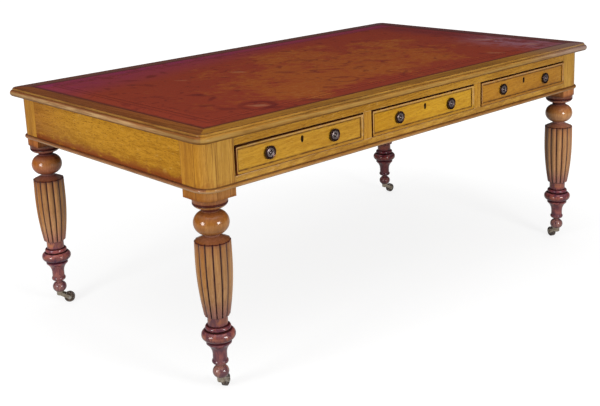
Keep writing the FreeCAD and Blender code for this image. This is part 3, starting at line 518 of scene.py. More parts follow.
front_finish = {"light": GOLD, "dark": GOLD_DARK, "polish": 0.10, "rings": 0.16, "pores": 0.6, "flecks": 0.25,
                "tint": board_tint}
rail_oak = oak("rail_oak", ALONG_X, (0, -0.38, 0.60), reach=0.008, **front_finish)
upright_oak = oak("upright_oak", ALONG_Z, (0, -0.38, 0), **front_finish)
back_oak = oak("back_oak", ALONG_X, (0, 0.42, 0.655), GOLD, GOLD_DARK, polish=0.10, rings=0.20, pores=0.6,
               flecks=0.25, tint=back_tint)
eased("front_top_rail", "table", rail_oak)
eased("front_bottom_rail", "table", rail_oak)
eased("back_rail", "table", back_oak)
for side, heart_x in (("left", -0.79), ("right", 0.79)):
    end_oak = oak("end_oak_" + side, ALONG_Y, (heart_x, 0, 0.655), END_LIGHT, END_DARK, polish=0.05,
                  rings=0.08, pores=0.8, flecks=0.25, tint=end_tint)
    eased("end_rail_" + side, "table", end_oak)
    eased("drawer_muntin_" + side, "table", upright_oak)

# Bead. A half-round oak bead planted round the lower edge of the frieze and mitred at the corners.
# Polish has gathered along its upper edge, and its lower half is rubbed pale.

BEAD_HEAD = FRIEZE_FOOT
BEAD_PALE, BEAD_DIRT = (0.40, 0.235, 0.110), (0.085, 0.024, 0.012)
LONG_BEAD, LONG_BEAD_DARK = (0.38, 0.182, 0.038), (0.21, 0.082, 0.015)
SHORT_BEAD, SHORT_BEAD_DARK = (0.34, 0.142, 0.056), (0.19, 0.068, 0.022)


def bead_tint(place, colour):
    """Dark polish has gathered along the upper edge, and the lower half is rubbed pale."""
    height = place["Z"]
    pale = span(noise(place * (12, 12, 12)), 0.3, 0.6, 0.25, 0.75)
    pale = pale * span(height, BEAD_HEAD - 0.0035, BEAD_HEAD - 0.0075)
    upper = span(height, BEAD_HEAD - 0.0026, BEAD_HEAD - 0.0008, 0.0, 0.65)
    return blend(upper, blend(pale, colour, BEAD_PALE), BEAD_DIRT)


def dress_round(name, long_oak, short_oak):
    """Give the four lengths that go round the table their finishes."""
    for side in ("front", "back"):
        dress(name + side, long_oak)
    for side in ("left", "right"):
        dress(name + side, short_oak)


bead_finish = {"heart": (0, 0, 0.5), "rings": 0.1, "pores": 0.4, "flecks": 0.1, "tint": bead_tint}
long_bead = oak("bead_oak_long", ALONG_X, light=LONG_BEAD, dark=LONG_BEAD_DARK, polish=0.20, **bead_finish)
short_bead = oak("bead_oak_short", ALONG_Y, light=SHORT_BEAD, dark=SHORT_BEAD_DARK, polish=0.25,
                 **bead_finish)
dress_round("frieze_bead_", long_bead, short_bead)

# Inside frame. Runners, guides, stops and bearers of plain planed oak behind the frieze, and the ground
# boards of the top screwed down above them. They were never polished and have gone dusty brown.

PLAIN_LIGHT, PLAIN_DARK = (0.36, 0.225, 0.105), (0.22, 0.125, 0.05)
SCREW_BRIGHT, SCREW_DULL, STEEL_DIRT = (0.42, 0.40, 0.37), (0.20, 0.15, 0.11), (0.05, 0.03, 0.02)
plain_finish = {"heart": (0, 0, 0.6), "light": PLAIN_LIGHT, "dark": PLAIN_DARK, "polish": 0.0, "rings": 0.3,
                "pores": 0.6, "flecks": 0.1}
plain_x = oak("plain_oak_x", ALONG_X, **plain_finish)
plain_y = oak("plain_oak_y", ALONG_Y, **plain_finish)
dress("top_panel", plain_x)
dress("drawer_stops", plain_x)
for name in ("drawer_runners", "drawer_guides", "top_bearers"):
    dress(name, plain_y)


def tarnish_group():
    """Old metal: cloudy tarnish, fine scratches along X and dirt where the surface is shut in."""
    group, given, out = new_group(
        "tarnish",
        {"Vector": "Vector", "Openness": "Float", "Bright": "Color", "Dull": "Color", "Dirt": "Color"},
        {"Color": "Color", "Roughness": "Float", "Height": "Float"},
    )
    clouds = noise(given["Vector"] * (110, 110, 110), detail=4.0, roughness=0.6)
    scratches = noise(given["Vector"] * (300, 2600, 2600), detail=2.0)
    shut = span(given["Openness"], 0.85, 0.40)
    colour = blend(span(clouds, 0.38, 0.62), given["Bright"], given["Dull"])
    colour = blend(shut, colour, given["Dirt"])
    rough = span(clouds, 0.3, 0.7, 0.22, 0.46) + shut * 0.3
    feed(out, {"Color": colour, "Roughness": rough, "Height": scratches + clouds})
    return group


TARNISH = tarnish_group()


def old_metal(name, bright, dull, dirt, metallic, reach=0.006, glint=(1, 1, 1), wear=None):
    """A metal finish with its tarnish and dirt. Glint is its colour at a slant, and wear recolours it."""
    material, shader, place = new_material(name)
    inputs = {"Vector": place, "Openness": openness(material, reach), "Bright": bright, "Dull": dull,
              "Dirt": dirt}
    tarnish = use_group(TARNISH, inputs)
    colour = tarnish["Color"]
    if wear:
        colour = wear(place, colour)
    feed(shader, {
        "Base Color": colour,
        "Roughness": tarnish["Roughness"],
        "Metallic": metallic,
        "Specular Tint": glint,
        "Normal": bump(tarnish["Height"], 0.15, 0.0002),
    })
    return material


dress("top_screws", old_metal("screw_steel", SCREW_BRIGHT, SCREW_DULL, STEEL_DIRT, metallic=0.9))

# Drawers. Oak fronts with a small mitred moulding round the edge, dovetailed to plain oak sides, with a
# housed back and a bottom slid into grooves. Dirt lines the inside of the moulding. Painted shade darkens the
# edges in the gap, the keyhole and the moulding's lower side, and a painted highlight lightens the moulding.

BAY_PITCH = 0.526
BAYS = {"left": -BAY_PITCH, "centre": 0.0, "right": BAY_PITCH}
FRONT_HALF_WIDTH = 0.243
FRONT_FOOT, FRONT_HEAD = 0.625, 0.704
INNER_FACE = (-0.488, -0.482)
MOULDING_WIDTH = 0.008
KEYHOLE_HEIGHT = 0.677
KEYHOLE_REACH = (0.0056, 0.0104)
WIDE_GAP = 0.0026
WIDE_GAP_END = (-0.760, -0.765)
# The right front is darker: painted shade where the light falls off towards the right.
FRONT_TONES_AND_SHADE = {
    "left": ((0.54, 0.290, 0.030), (0.39, 0.185, 0.016)),
    "centre": ((0.55, 0.295, 0.022), (0.41, 0.190, 0.012)),
    "right": ((0.45, 0.205, 0.022), (0.31, 0.125, 0.014)),
}
INNER_SHADE = (0.66, 0.78, 3.2)
MOULDING_DIRT, MOULDING_HIGHLIGHT, MOULDING_LOWER_SHADE = (0.085, 0.030, 0.010), (0.52, 0.32, 0.15), (0.26, 0.110, 0.020)
KEYHOLE_PAINTED_SHADE, GAP_PAINTED_SHADE = (0.026, 0.010, 0.006), (0.085, 0.019, 0.003)


def length(vector):
    """How long a vector is."""
    return add("VectorMath", {0: vector}, "Value", operation="LENGTH")


def apart(across, up):
    """The straight distance that goes so far across and so far up."""
    return length(add("CombineXYZ", {0: across, 1: up}))


def across_bay(place):
    """How far across a point is from the middle of its drawer."""
    return figure("WRAP", place["X"], BAY_PITCH / 2, -BAY_PITCH / 2)


def front_tint(place, colour):
    """Dirt inside the moulding, painted shade on the edges in the gap round the front and on the keyhole, a
    painted highlight on the moulding with painted shade on its lower side, and a plain back.
    """
    height = place["Z"]
    across = across_bay(place)
    colour = shaded(colour, INNER_SHADE, span(place["Y"], *INNER_FACE))
    from_foot = height - FRONT_FOOT
    from_rails = figure("MINIMUM", FRONT_HEAD - height, from_foot)
    edge = figure("MINIMUM", FRONT_HALF_WIDTH - abs(across), from_rails)
    past = edge - MOULDING_WIDTH
    clouds = noise(place * (40, 40, 40))
    dirt = band(past, -0.001, 0.0002, 0.0014, 0.006) * span(clouds, 0.25, 0.65, 0.45, 0.95)
    colour = blend(dirt, colour, MOULDING_DIRT)
    # A patchy painted highlight on the moulding, faint on its lower side.
    pale = span(past, -0.0005, -0.002) * span(clouds, 0.3, 0.6, 0.15, 0.55)
    pale = pale * span(from_foot, MOULDING_WIDTH, MOULDING_WIDTH * 2, 0.15, 1.0)
    colour = blend(pale, colour, MOULDING_HIGHLIGHT)
    # Painted shade on the lower side of the moulding.
    lower = span(from_foot, MOULDING_WIDTH, MOULDING_WIDTH * 0.7, 0.0, 0.45)
    colour = blend(lower, colour, MOULDING_LOWER_SHADE)
    # The keyhole painted dark, as painted shade in the hole.
    from_key = apart(across * (1 / KEYHOLE_REACH[0]), (height - KEYHOLE_HEIGHT) * (1 / KEYHOLE_REACH[1]))
    colour = blend(span(from_key, 1.10, 0.85, 0.0, 0.9), colour, KEYHOLE_PAINTED_SHADE)
    # Painted shade on the front's edges in the gap, wider at the left end.
    in_gap = edge - span(place["X"], *WIDE_GAP_END, 0.0, WIDE_GAP)
    return blend(span(in_gap, 0.0016, 0.0008), colour, GAP_PAINTED_SHADE)


for bay in BAYS:
    drawer = "drawer_" + bay
    drawer_oak = oak(drawer + "_oak", ALONG_X, (0, -0.41, 0.63), *FRONT_TONES_AND_SHADE[bay], polish=0.12, rings=0.12,
                     pores=0.45, flecks=0.15, reach=0.008, tint=front_tint)
    eased(drawer + "_front", drawer, drawer_oak)
    eased(drawer + "_moulding", drawer, drawer_oak)
    dress(drawer + "_sides", plain_y)
    dress(drawer + "_back", plain_x)
    dress(drawer + "_bottom", plain_x)

# Locks. A brass lock let into the back of each front, with a thin brass lining in its keyhole. The brass
# has gone brown.

LOCK_BRIGHT, LOCK_DULL, LOCK_DIRT = (0.024, 0.013, 0.007), (0.015, 0.008, 0.005), (0.008, 0.005, 0.003)
LOCK_GLINT = (0.05, 0.05, 0.05)
lock_brass = old_metal("lock_brass", LOCK_BRIGHT, LOCK_DULL, LOCK_DIRT, metallic=0.4, glint=LOCK_GLINT)
for bay in BAYS:
    dress("drawer_" + bay + "_lock", lock_brass)

# Knobs. Two turned brass knobs on each front, darkened, with raised rings on the face that hands have worn
# bright. A spigot goes through the front to a round nut behind.

KNOB_SIDES = 48
KNOB_SMOOTH_TURN = math.radians(50)
KNOB_HEIGHT = 0.6645
KNOB_SPACING = 0.246
FRONT_Y = -0.500
KNOB_BRONZE, KNOB_DULL, KNOB_DIRT = (0.050, 0.026, 0.022), (0.026, 0.012, 0.010), (0.010, 0.005, 0.005)
KNOB_GLINT, KNOB_BRIGHT = (0.25, 0.22, 0.22), (0.24, 0.205, 0.20)
# Radius and height in millimetres, from the nut behind the front to the boss in the middle of the face.
KNOB_STEPS = (
    (7.0, -24.0), (7.0, -20.2), (6.4, -20.0), (3.0, -20.0), (3.0, -0.2), (3.0, 0.0), (9.0, 0.0), (9.5, 0.4),
    (9.5, 1.4), (9.0, 2.0), (8.2, 2.2), (8.0, 2.6), (8.8, 3.4), (10.6, 4.2), (13.4, 5.1), (16.4, 5.8),
    (18.4, 6.3), (19.0, 6.7), (19.2, 7.2), (19.0, 7.6), (18.3, 8.0), (17.0, 7.9), (15.6, 7.3), (14.6, 6.6),
    (13.6, 6.5), (12.6, 7.2), (11.8, 7.7), (10.8, 7.6), (10.0, 7.2), (9.4, 7.2), (8.7, 7.6), (7.8, 7.8),
    (7.0, 7.5), (6.3, 6.7), (5.6, 6.4), (4.4, 6.4), (3.7, 6.8), (3.1, 7.6), (2.2, 7.9), (1.2, 8.0),
    (0.4, 8.0),
)


def turned(name, steps, sides):
    """A turned piece with its axis along Z: a disc drawn up ring by ring, sizes in millimetres."""
    radius, height = steps[0]
    bpy.ops.object.select_all(action="DESELECT")
    bpy.ops.mesh.primitive_circle_add(
        vertices=sides, radius=radius / 1000, fill_type="NGON", location=(0, 0, height / 1000))
    piece = bpy.context.object
    piece.name = name
    bpy.ops.object.transform_apply(location=True, rotation=False, scale=False)
    bpy.ops.object.mode_set(mode="EDIT")
    bpy.ops.mesh.select_all(action="SELECT")
    for (last_radius, last_height), (radius, height) in zip(steps, steps[1:]):
        rise = (height - last_height) / 1000
        bpy.ops.mesh.extrude_region_move(TRANSFORM_OT_translate={"value": (0, 0, rise)})
        growth = radius / last_radius
        bpy.ops.transform.resize(value=(growth, growth, 1))
    bpy.ops.mesh.select_all(action="SELECT")
    bpy.ops.mesh.normals_make_consistent(inside=False)
    bpy.ops.object.mode_set(mode="OBJECT")
    bpy.ops.object.shade_smooth_by_angle(angle=KNOB_SMOOTH_TURN)
    return piece


def placed_copy(piece, name, place):
    """A copy of a piece, moved to its place and left selected."""
    copy = copied(piece, name)
    copy.location = place
    bpy.ops.object.transform_apply(location=True, rotation=False, scale=False)
    return copy


def knob_wear(place, colour):
    """Nearly black bronzing, worn through to bright metal on the raised rings inside the rim."""
    off_axis = apart(abs(across_bay(place)) - KNOB_SPACING / 2, place["Z"] - KNOB_HEIGHT)
    raised = span(place["Y"], FRONT_Y - 0.0071, FRONT_Y - 0.0076) * span(off_axis, 0.0142, 0.0132)
    patchy = span(noise(place * (240, 240, 240)), 0.3, 0.6, 0.35, 1.0)
    return blend(raised * patchy, colour, KNOB_BRIGHT)


knob = turned("knob", KNOB_STEPS, KNOB_SIDES)
knob.rotation_euler = (math.radians(90), 0, 0)
bpy.ops.object.transform_apply(location=False, rotation=True, scale=False)
knob_bronze = old_metal("knob_bronze", KNOB_BRONZE, KNOB_DULL, KNOB_DIRT, metallic=0.85, reach=0.004,
                        glint=KNOB_GLINT, wear=knob_wear)
knob.data.materials.append(knob_bronze)
for bay, middle in BAYS.items():
    drawer = "drawer_" + bay
    near = placed_copy(knob, drawer + "_knob_pair", (middle - KNOB_SPACING / 2, FRONT_Y, KNOB_HEIGHT))
    placed_copy(knob, drawer + "_knob_far", (middle + KNOB_SPACING / 2, FRONT_Y, KNOB_HEIGHT))
    near.select_set(True)
    bpy.context.view_layer.objects.active = near
    bpy.ops.object.join()
    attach(near, drawer)
    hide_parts(drawer + "_knobs")
bpy.data.objects.remove(knob)

# Top border. Four lengths of oak moulded to a flat, a fillet and a projecting nose, mitred at the rounded
# corners. Hands have worn the nose paler and duller than the flat, and on the end edges its paleness is a
# painted highlight.

TOP_REACH = (0.902, 0.530)
TOP_CORNER = 0.036
FILLET_IN = 0.009
FLAT_FOOT = 0.7545
NOSE_FOOT = (0.7425, 0.7400)
LONG_EDGE, LONG_EDGE_DARK = (0.36, 0.158, 0.016), (0.17, 0.064, 0.007)
SHORT_EDGE_RED, SHORT_EDGE_DARK = (0.25, 0.070, 0.014), (0.120, 0.029, 0.006)
FILLET_LINE, ARRIS_HIGHLIGHT = (0.085, 0.030, 0.008), (0.40, 0.230, 0.050)
NOSE_SCORE, NOSE_UNDER_SHADOW = (0.14, 0.060, 0.012), (0.16, 0.064, 0.010)
COMB_DARK, COMB_PALE = (0.105, 0.045, 0.009), (0.42, 0.235, 0.050)
EDGE_PAINTED_REFLECTION, BACK_PAINTED_SHADE, RIGHT_WINE = (0.190, 0.115, 0.110), (0.085, 0.026, 0.036), (0.090, 0.028, 0.036)
LONG_NOSE, LONG_NOSE_PAINTED_REFLECTION = (0.350, 0.206, 0.056), (0.390, 0.275, 0.215)
SHORT_NOSE_HIGHLIGHT, SHORT_NOSE_ENDS = (0.520, 0.328, 0.148), (0.280, 0.160, 0.052)
SHORT_EDGE_SHADES = (
    (-0.52, (1.10, 1.32, 1.40)), (-0.40, (1.22, 1.45, 1.25)), (-0.25, (1.14, 1.22, 1.08)),
    (-0.10, (1, 1, 1.06)), (0.05, (0.87, 0.90, 1.06)), (0.52, (0.88, 0.90, 1.10)),
)


def moulded_edge_group():
    """Dark polish where the flat ends, a painted highlight on the arris, a paler streaked nose that is partly
    worn and partly a painted highlight, and a painted shadow line under it.
    """
    inputs = {"Vector": "Vector", "Color": "Color", "Nose": "Color"}
    group, given, out = new_group("moulded_edge", inputs, {"Color": "Color"})
    place = given["Vector"]
    height = place["Z"]
    past_x = figure("MAXIMUM", abs(place["X"]) - (TOP_REACH[0] - TOP_CORNER), 0.0)
    past_y = figure("MAXIMUM", abs(place["Y"]) - (TOP_REACH[1] - TOP_CORNER), 0.0)
    inward = TOP_CORNER - apart(past_x, past_y)
    clouds = noise(place * (9, 9, 60))
    dashes = noise(place * (60, 60, 60), detail=2.0)
    line = band(inward, FILLET_IN + 0.0018, FILLET_IN + 0.0026, FILLET_IN + 0.005, FILLET_IN + 0.0072)
    colour = blend(line * span(dashes, 0.35, 0.6, 0.25, 0.85), given["Color"], FILLET_LINE)
    # A painted highlight along the arris.
    arris = span(inward, FILLET_IN + 0.002, FILLET_IN + 0.001) * span(height, FLAT_FOOT, FLAT_FOOT + 0.001)
    colour = blend(arris * span(clouds, 0.3, 0.6, 0.15, 0.5), colour, ARRIS_HIGHLIGHT)
    lines = noise(place * (7, 7, 460), detail=4.0, roughness=0.6)
    # The nose band takes the nose colour: worn paler, and on the end edges a painted highlight.
    rubbed = span(height, FLAT_FOOT, FLAT_FOOT - 0.0055) * span(clouds, 0.3, 0.65, 0.45, 0.90)
    colour = blend(rubbed * span(lines, 0.38, 0.60, 0.55, 1.1), colour, given["Nose"])
    scored = span(lines, 0.41, 0.34) * span(height, FLAT_FOOT + 0.0025, FLAT_FOOT + 0.0005, 0.0, 0.55)
    colour = blend(scored, colour, NOSE_SCORE)
    # A painted shadow line under the nose.
    under = span(height, *NOSE_FOOT, 0.0, 0.85)
    feed(out, {"Color": blend(under, colour, NOSE_UNDER_SHADOW)})
    return group


MOULDED_EDGE = moulded_edge_group()


def on_flat(height):
    """A share that covers most of the flat's face and none of the nose."""
    return span(height, FLAT_FOOT, FLAT_FOOT + 0.0015, 0.0, 0.8)


def long_edge_tint(place, colour):
    """The front and back edges, with fine dark and pale lines along their run, a golden nose, a painted
    reflection towards the right end and painted shade on the back flat.
    """
    lines = noise(place * (2.5, 230, 60), roughness=0.6)
    colour = blend(span(lines, 0.46, 0.34, 0.0, 0.55), colour, COMB_DARK)
    colour = blend(span(lines, 0.56, 0.68, 0.0, 0.40), colour, COMB_PALE)
    # A painted reflection towards the right end, on the flat and the nose.
    painted_reflection = span(place["X"], 0.45, 0.88)
    colour = blend(painted_reflection * 0.85, colour, EDGE_PAINTED_REFLECTION)
    # Painted shade on the back border's flat.
    colour = blend(span(place["Y"], 0.30, 0.46) * on_flat(place["Z"]), colour, BACK_PAINTED_SHADE)
    nose = blend(painted_reflection, LONG_NOSE, LONG_NOSE_PAINTED_REFLECTION)
    return use_group(MOULDED_EDGE, {"Vector": place, "Color": colour, "Nose": nose})["Color"]


def short_edge_tint(place, colour):
    """The end edges, redder on the flat, with a painted highlight on the nose that is palest in the middle of
    its run.
    """
    depth = place["Y"]
    colour = shaded(colour, ramp(depth, SHORT_EDGE_SHADES))
    colour = blend(span(place["X"], 0.60, 0.84) * on_flat(place["Z"]), colour, RIGHT_WINE)
    ends = figure("MAXIMUM", span(depth, -0.24, -0.42), span(depth, 0.30, 0.50, 0.0, 0.5))
    # A painted highlight on the nose, fading towards its ends.
    nose = blend(ends, SHORT_NOSE_HIGHLIGHT, SHORT_NOSE_ENDS)
    return use_group(MOULDED_EDGE, {"Vector": place, "Color": colour, "Nose": nose})["Color"]


border_finish = {"heart": (0, 0, 0.68), "rings": 0.15, "pores": 0.6, "flecks": 0.1, "reach": 0.010}
long_border = oak("border_oak_long", ALONG_X, light=LONG_EDGE, dark=LONG_EDGE_DARK, polish=0.12,
                  tint=long_edge_tint, **border_finish)
short_border = oak("border_oak_short", ALONG_Y, light=SHORT_EDGE_RED, dark=SHORT_EDGE_DARK, polish=0.10,
                   tint=short_edge_tint, **border_finish)
dress_round("top_border_", long_border, short_border)

# Leather. One red-brown hide pasted on the ground boards, flush with the border, with two lines pressed
# round it by a hot wheel. The middle is rubbed to orange-brown, and cups and spills have marked it.

LEATHER_LENGTH, LEATHER_DEPTH = 1.6836, 0.9396
LEATHER_FACE = 0.7617
LEATHER_THICKNESS = 0.0009
LEATHER_CUTS, LEATHER_SMOOTH_TURN = 80, math.radians(40)
UNEVEN_SIZE, UNEVEN_DEPTH = 0.11, 0.0005
LINE_DEPTH = 0.0004
LINE_PLACES = (0.050, 0.069)
LINE_WIDTH = 0.0045
PEBBLES_PER_METRE = 620.0
STROKE_TURN = (0, 0, math.radians(52))
LEATHER_RED, LEATHER_WORN, LEATHER_PALE = (0.215, 0.029, 0.012), (0.270, 0.062, 0.010), (0.340, 0.115, 0.026)
LEATHER_CRIMSON_AND_SHEEN, LEATHER_WINE = (0.184, 0.020, 0.060), (0.135, 0.017, 0.022)
LEATHER_PAINTED_REFLECTION, LEATHER_SCUFF = (0.240, 0.098, 0.126), (0.400, 0.190, 0.095)
LEATHER_MARK, LEATHER_DARK, LEATHER_RIM = (0.118, 0.012, 0.009), (0.095, 0.011, 0.008), (0.050, 0.014, 0.010)
LEFT_STRIP, LEFT_STRIP_SHADE = (-0.780, -0.805), (1.14, 1.16, 1.20)
SITTER_SPOT, MIDDLE_SPOT = (-0.25, -0.24), (0.12, -0.02)
# Cup rings: middle, radius, width and strength. Scuffs and spills: middle, size and strength.
RING_MARKS = (
    ((-0.566, -0.362), 0.048, 0.016, 0.85), ((-0.700, -0.284), 0.050, 0.012, 0.22),
    ((-0.141, -0.286), 0.043, 0.010, 0.6), ((0.060, -0.330), 0.034, 0.008, 0.35),
)
PALE_MARKS = (
    ((-0.566, -0.366), (0.036, 0.018), 0.36), ((-0.264, 0.098), (0.032, 0.012), 0.34),
    ((0.750, -0.166), (0.060, 0.016), 0.34), ((0.521, -0.379), (0.036, 0.012), 0.34),
    ((0.752, -0.375), (0.036, 0.014), 0.34), ((-0.475, 0.135), (0.030, 0.008), 0.24),
)
DARK_MARKS = (
    ((-0.496, 0.284), (0.022, 0.036), 0.75), ((-0.585, -0.095), (0.032, 0.020), 0.75),
    ((-0.590, -0.178), (0.012, 0.042), 0.7), ((-0.660, -0.240), (0.034, 0.016), 0.55),
    ((-0.650, -0.330), (0.040, 0.020), 0.55), ((-0.174, -0.039), (0.050, 0.024), 0.5),
    ((-0.397, -0.452), (0.050, 0.016), 0.5), ((0.150, -0.120), (0.046, 0.018), 0.4),
)


def pressed_line(before):
    """Inset the chosen face past a plain band, and press a line into the leather there."""
    for thickness, depth in ((before, 0.0), (LINE_WIDTH * 0.3, -LINE_DEPTH), (LINE_WIDTH * 0.4, 0.0),
                             (LINE_WIDTH * 0.3, LINE_DEPTH)):
        bpy.ops.mesh.inset(thickness=thickness, depth=depth)


def leather_sheet():
    """The hide: a plane with its lines pressed in and a slight unevenness, given its thickness."""
    bpy.ops.object.select_all(action="DESELECT")
    bpy.ops.mesh.primitive_plane_add(size=1.0, location=(0, 0, LEATHER_FACE))
    hide = bpy.context.object
    hide.name = "leather"
    hide.scale = (LEATHER_LENGTH, LEATHER_DEPTH, 1)
    bpy.ops.object.transform_apply(location=True, rotation=False, scale=True)
    bpy.ops.object.mode_set(mode="EDIT")
    bpy.ops.mesh.select_all(action="SELECT")
    pressed_line(LINE_PLACES[0])
    pressed_line(LINE_PLACES[1] - LINE_PLACES[0] - LINE_WIDTH)
    bpy.ops.mesh.subdivide(number_cuts=LEATHER_CUTS)
    bpy.ops.object.mode_set(mode="OBJECT")
    clouds = bpy.data.textures.new("hide_unevenness", "CLOUDS")
    clouds.noise_scale = UNEVEN_SIZE
    uneven = hide.modifiers.new("unevenness", "DISPLACE")
    uneven.texture = clouds
    uneven.strength = UNEVEN_DEPTH
    uneven.direction = "Z"
    thick = hide.modifiers.new("thickness", "SOLIDIFY")
    thick.thickness = LEATHER_THICKNESS
    thick.offset = -1.0
    for modifier in ("unevenness", "thickness"):
        bpy.ops.object.modifier_apply(modifier=modifier)
    bpy.ops.object.shade_smooth_by_angle(angle=LEATHER_SMOOTH_TURN)
    return hide


def away_from(place, spot):
    """The distance from a spot on the leather."""
    return add("VectorMath", {0: place, 1: (*spot, LEATHER_FACE)}, "Value", operation="DISTANCE")


def ring_mark(place, centre, radius, width):
    """A cup's ring, faint in places."""
    wobble = noise(place * (16, 16, 16), detail=2.0)
    off = abs(away_from(place, centre) + wobble * 0.02 - (radius + 0.01))
    return span(off, width, width * 0.3) * span(wobble, 0.3, 0.6, 0.35, 1.0)


def spot_mark(place, centre, size):
    """A ragged spill or scuff of a size along and across the stroke of the sitter's arm."""
    wobble = noise(place * (34, 34, 34), detail=4.0, roughness=0.6)
    off = swung(place - (*centre, LEATHER_FACE), STROKE_TURN) * (1 / size[0], 1 / size[1], 1)
    return span(length(off) + wobble * 1.2, 1.75, 1.0)


def leather_material():
    """Rubbed hide: orange-brown smudged with red, crimson with a painted purple sheen at the back and the
    left end, a painted reflection at the right front, and marked.
    """
    material, shader, place = new_material("writing_leather")
    x, y = place["X"], place["Y"]
    edge = figure("MINIMUM", LEATHER_LENGTH / 2 - abs(x), LEATHER_DEPTH / 2 - abs(y))
    along = swung(place, STROKE_TURN)
    clouds = noise(place * (4.2, 4.2, 1), distortion=0.4)
    smudges = noise(place * (11, 13, 1), detail=5.0, roughness=0.62, distortion=0.9)
    mottle = noise(place * (55, 60, 1), detail=4.0, roughness=0.65, distortion=0.3)
    smears = noise(along * (18, 27, 1), detail=4.0, roughness=0.62, distortion=0.9)
    worn = clouds + span(edge, 0.03, 0.20) * 0.22 + smudges * 0.65 + mottle * 0.34 + smears * 0.75
    worn = worn - span(y, 0.12, 0.40, 0.0, 0.22)
    worn = worn + span(away_from(place, SITTER_SPOT), 0.45, 0.10, 0.0, 0.20)
    worn = worn + span(away_from(place, MIDDLE_SPOT), 0.60, 0.10, 0.0, 0.15)
    worn = worn - span(x, -0.26, -0.60, 0.0, 0.24) * span(y, -0.26, -0.04)
    worn = span(worn - span(x, 0.35, 0.80, 0.0, 0.22), 1.50, 1.84)
    colour = blend(worn, LEATHER_RED, LEATHER_WORN)
    pale = span(mottle + clouds * 0.5, 0.80, 0.98)
    colour = blend(pale * worn * 0.35, colour, LEATHER_PALE)
    colour = blend(span(x + smudges * 0.10, 0.70, 0.84, 0.0, 0.75), colour, LEATHER_WINE)
    # Crimson hide with a painted purple sheen along the back and the left end.
    back = y + x * -0.16 + smears * 0.08
    crimson = figure("MAXIMUM", span(back, 0.30, 0.50, 0.0, 0.68), span(y, 0.385, 0.420))
    kept = span(smears + mottle * 0.4, 0.50, 0.80, 1.0, 0.65)
    colour = blend(crimson * kept, colour, LEATHER_CRIMSON_AND_SHEEN)
    # A painted reflection on the leather towards the right front.
    painted_reflection = span(x, 0.56, 0.78) * span(y, 0.04, -0.26) * span(smears, 0.38, 0.60, 0.15, 1.0)
    colour = blend(painted_reflection, colour, LEATHER_PAINTED_REFLECTION)
    dark = span(noise(place * (15, 15, 1), detail=4.0, roughness=0.6, distortion=0.8), 0.60, 0.72)
    colour = blend(dark * 0.55, colour, LEATHER_DARK)
    strokes = span(noise(along * (14, 22, 1), distortion=1.2), 0.58, 0.66)
    colour = blend(strokes * 0.60, colour, LEATHER_MARK)
    for *ring, share in RING_MARKS:
        colour = blend(ring_mark(place, *ring) * share, colour, LEATHER_MARK)
    for marks, mark_colour in ((PALE_MARKS, LEATHER_SCUFF), (DARK_MARKS, LEATHER_MARK)):
        for centre, size, share in marks:
            colour = blend(spot_mark(place, centre, size) * share, colour, mark_colour)
    for start in LINE_PLACES:
        off_line = abs(edge - (start + LINE_WIDTH / 2))
        colour = blend(span(off_line, LINE_WIDTH * 0.75, LINE_WIDTH * 0.3) * 0.65, colour, LEATHER_DARK)
    colour = shaded(colour, LEFT_STRIP_SHADE, span(x, *LEFT_STRIP))
    colour = blend(span(edge, 0.020, 0.001) * 0.85, colour, LEATHER_RIM)
    pebbles = add("TexVoronoi", {"Vector": place, "Scale": PEBBLES_PER_METRE, "Randomness": 1.0}, "Distance")
    feed(shader, {
        "Base Color": colour,
        "Roughness": span(mottle, 0.3, 0.7, 0.62, 0.46),
        "Specular IOR Level": 0.06,
        "Normal": bump(pebbles * 0.5 + mottle * 2.0, 0.3, 0.0004),
    })
    return material


leather = leather_sheet()
leather.data.materials.append(leather_material())
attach(leather, "table")
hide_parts("leather_inset")

# Castors. A brass plate with its stem in each foot carries a brass horn that swivels on the plate's pintle,
# and a dark glazed wheel runs on a steel axle in the horn. The brass is dull and grubby.

CASTOR_BRIGHT, CASTOR_DULL, CASTOR_DIRT = (0.42, 0.36, 0.28), (0.25, 0.20, 0.145), (0.05, 0.033, 0.025)
AXLE_BRIGHT, AXLE_DULL = (0.45, 0.43, 0.40), (0.22, 0.18, 0.14)
GLAZE_DARK, GLAZE_BROWN, GLAZE_DUST = (0.030, 0.018, 0.012), (0.070, 0.045, 0.032), (0.24, 0.20, 0.17)


def wheel_glaze_material():
    """Dark brown glaze, chipped and dusty in patches."""
    material, shader, place = new_material("wheel_glaze")
    clouds = noise(place * (150, 150, 150), detail=4.0, roughness=0.6)
    dusty = span(clouds, 0.5, 0.68)
    colour = blend(span(clouds, 0.3, 0.6), GLAZE_DARK, GLAZE_BROWN)
    feed(shader, {
        "Base Color": blend(dusty * 0.6, colour, GLAZE_DUST),
        "Roughness": dusty * 0.4 + 0.2,
        "Normal": bump(clouds, 0.2, 0.0003),
    })
    return material


castor_brass = old_metal("castor_brass", CASTOR_BRIGHT, CASTOR_DULL, CASTOR_DIRT, metallic=0.85)
axle_steel = old_metal("axle_steel", AXLE_BRIGHT, AXLE_DULL, STEEL_DIRT, metallic=0.9)
wheel_glaze = wheel_glaze_material()
dress("castor_plates", castor_brass)
for leg_name in LEG_NAMES:
    dress("castor_horn_" + leg_name, castor_brass)
    dress("castor_axle_" + leg_name, axle_steel)
    dress("castor_wheel_" + leg_name, wheel_glaze)

# Floor, light and camera. A plain floor that shows nearly white, a soft box to the left, one in front and
# a large one overhead, and the camera where the photograph was taken from.

FLOOR_SIZE = 40.0
FLOOR_GREY, WHITE = (0.24, 0.24, 0.24), (1, 1, 1)
MIRRORED_SHARE = 0.5
GLOW_NEAR, GLOW_FAR = 0.9, 2.4
SENSOR_WIDTH, LENS, LENS_SHIFT = 36.0, 59.59, -0.12
CAMERA_PLACE = (-2.3339, -2.5069, 1.3643)
CAMERA_TURN = (76.162, 2.321, -42.475)

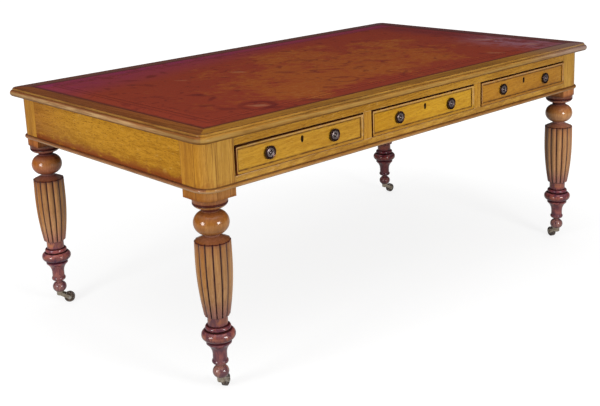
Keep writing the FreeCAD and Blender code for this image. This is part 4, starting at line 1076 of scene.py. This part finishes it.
bpy.ops.object.select_all(action="DESELECT")
bpy.ops.mesh.primitive_plane_add(size=FLOOR_SIZE, location=(0, 0, 0))
floor = bpy.context.object
floor.name = "floor"
floor_material, floor_shader, floor_place = new_material("pale_floor")
straight = add("LightPath", {}, "Is Camera Ray", floor_material.node_tree)
mirrored = add("LightPath", {}, "Is Glossy Ray", floor_material.node_tree) * MIRRORED_SHARE
seen = figure("MAXIMUM", straight, mirrored)
feed(floor_shader, {
    "Base Color": FLOOR_GREY,
    "Roughness": 0.9,
    "Specular IOR Level": 0.0,
    "Emission Color": WHITE,
    "Emission Strength": seen * span(length(floor_place), GLOW_NEAR, GLOW_FAR, 0.80, 1.0),
})
floor.data.materials.append(floor_material)


def soft_box(name, place, target, size, power):
    """A square area light aimed at a point."""
    lamp = bpy.data.lights.new(name, "AREA")
    lamp.size = size
    lamp.energy = power
    light = bpy.data.objects.new(name, lamp)
    bpy.context.collection.objects.link(light)
    light.location = place
    light.rotation_euler = (Vector(target) - Vector(place)).to_track_quat("-Z", "Y").to_euler()
    light.visible_camera = False


soft_box("left_box", place=(-3.6, -0.3, 1.10), target=(-0.6, -0.1, 0.5), size=1.0, power=64)
soft_box("front_box", place=(-0.2, -3.6, 1.20), target=(-0.2, -0.4, 0.5), size=1.0, power=88)
soft_box("overhead", place=(-0.5, -0.5, 4.0), target=(0, 0, 0), size=4.0, power=60)
world = bpy.data.worlds.new("studio")
world.use_nodes = True
sky = world.node_tree
direction = add("TexCoord", {}, "Generated", sky)
glow = span(direction["Z"], 0.25, 0.85, 0.06, 0.6)
straight = add("LightPath", {}, "Is Camera Ray", sky)
glow = add("Mix", {0: straight, 2: glow, 3: 1.0})
feed(sky.nodes["Background"], {"Strength": glow, "Color": WHITE})
bpy.context.scene.world = world
bpy.context.scene.view_settings.view_transform = "Standard"

view = bpy.data.cameras.new("camera")
view.sensor_width = SENSOR_WIDTH
view.lens = LENS
view.shift_y = LENS_SHIFT
camera = bpy.data.objects.new("camera", view)
bpy.context.collection.objects.link(camera)
camera.location = CAMERA_PLACE
camera.rotation_euler = [math.radians(a) for a in CAMERA_TURN]
bpy.context.scene.camera = camera
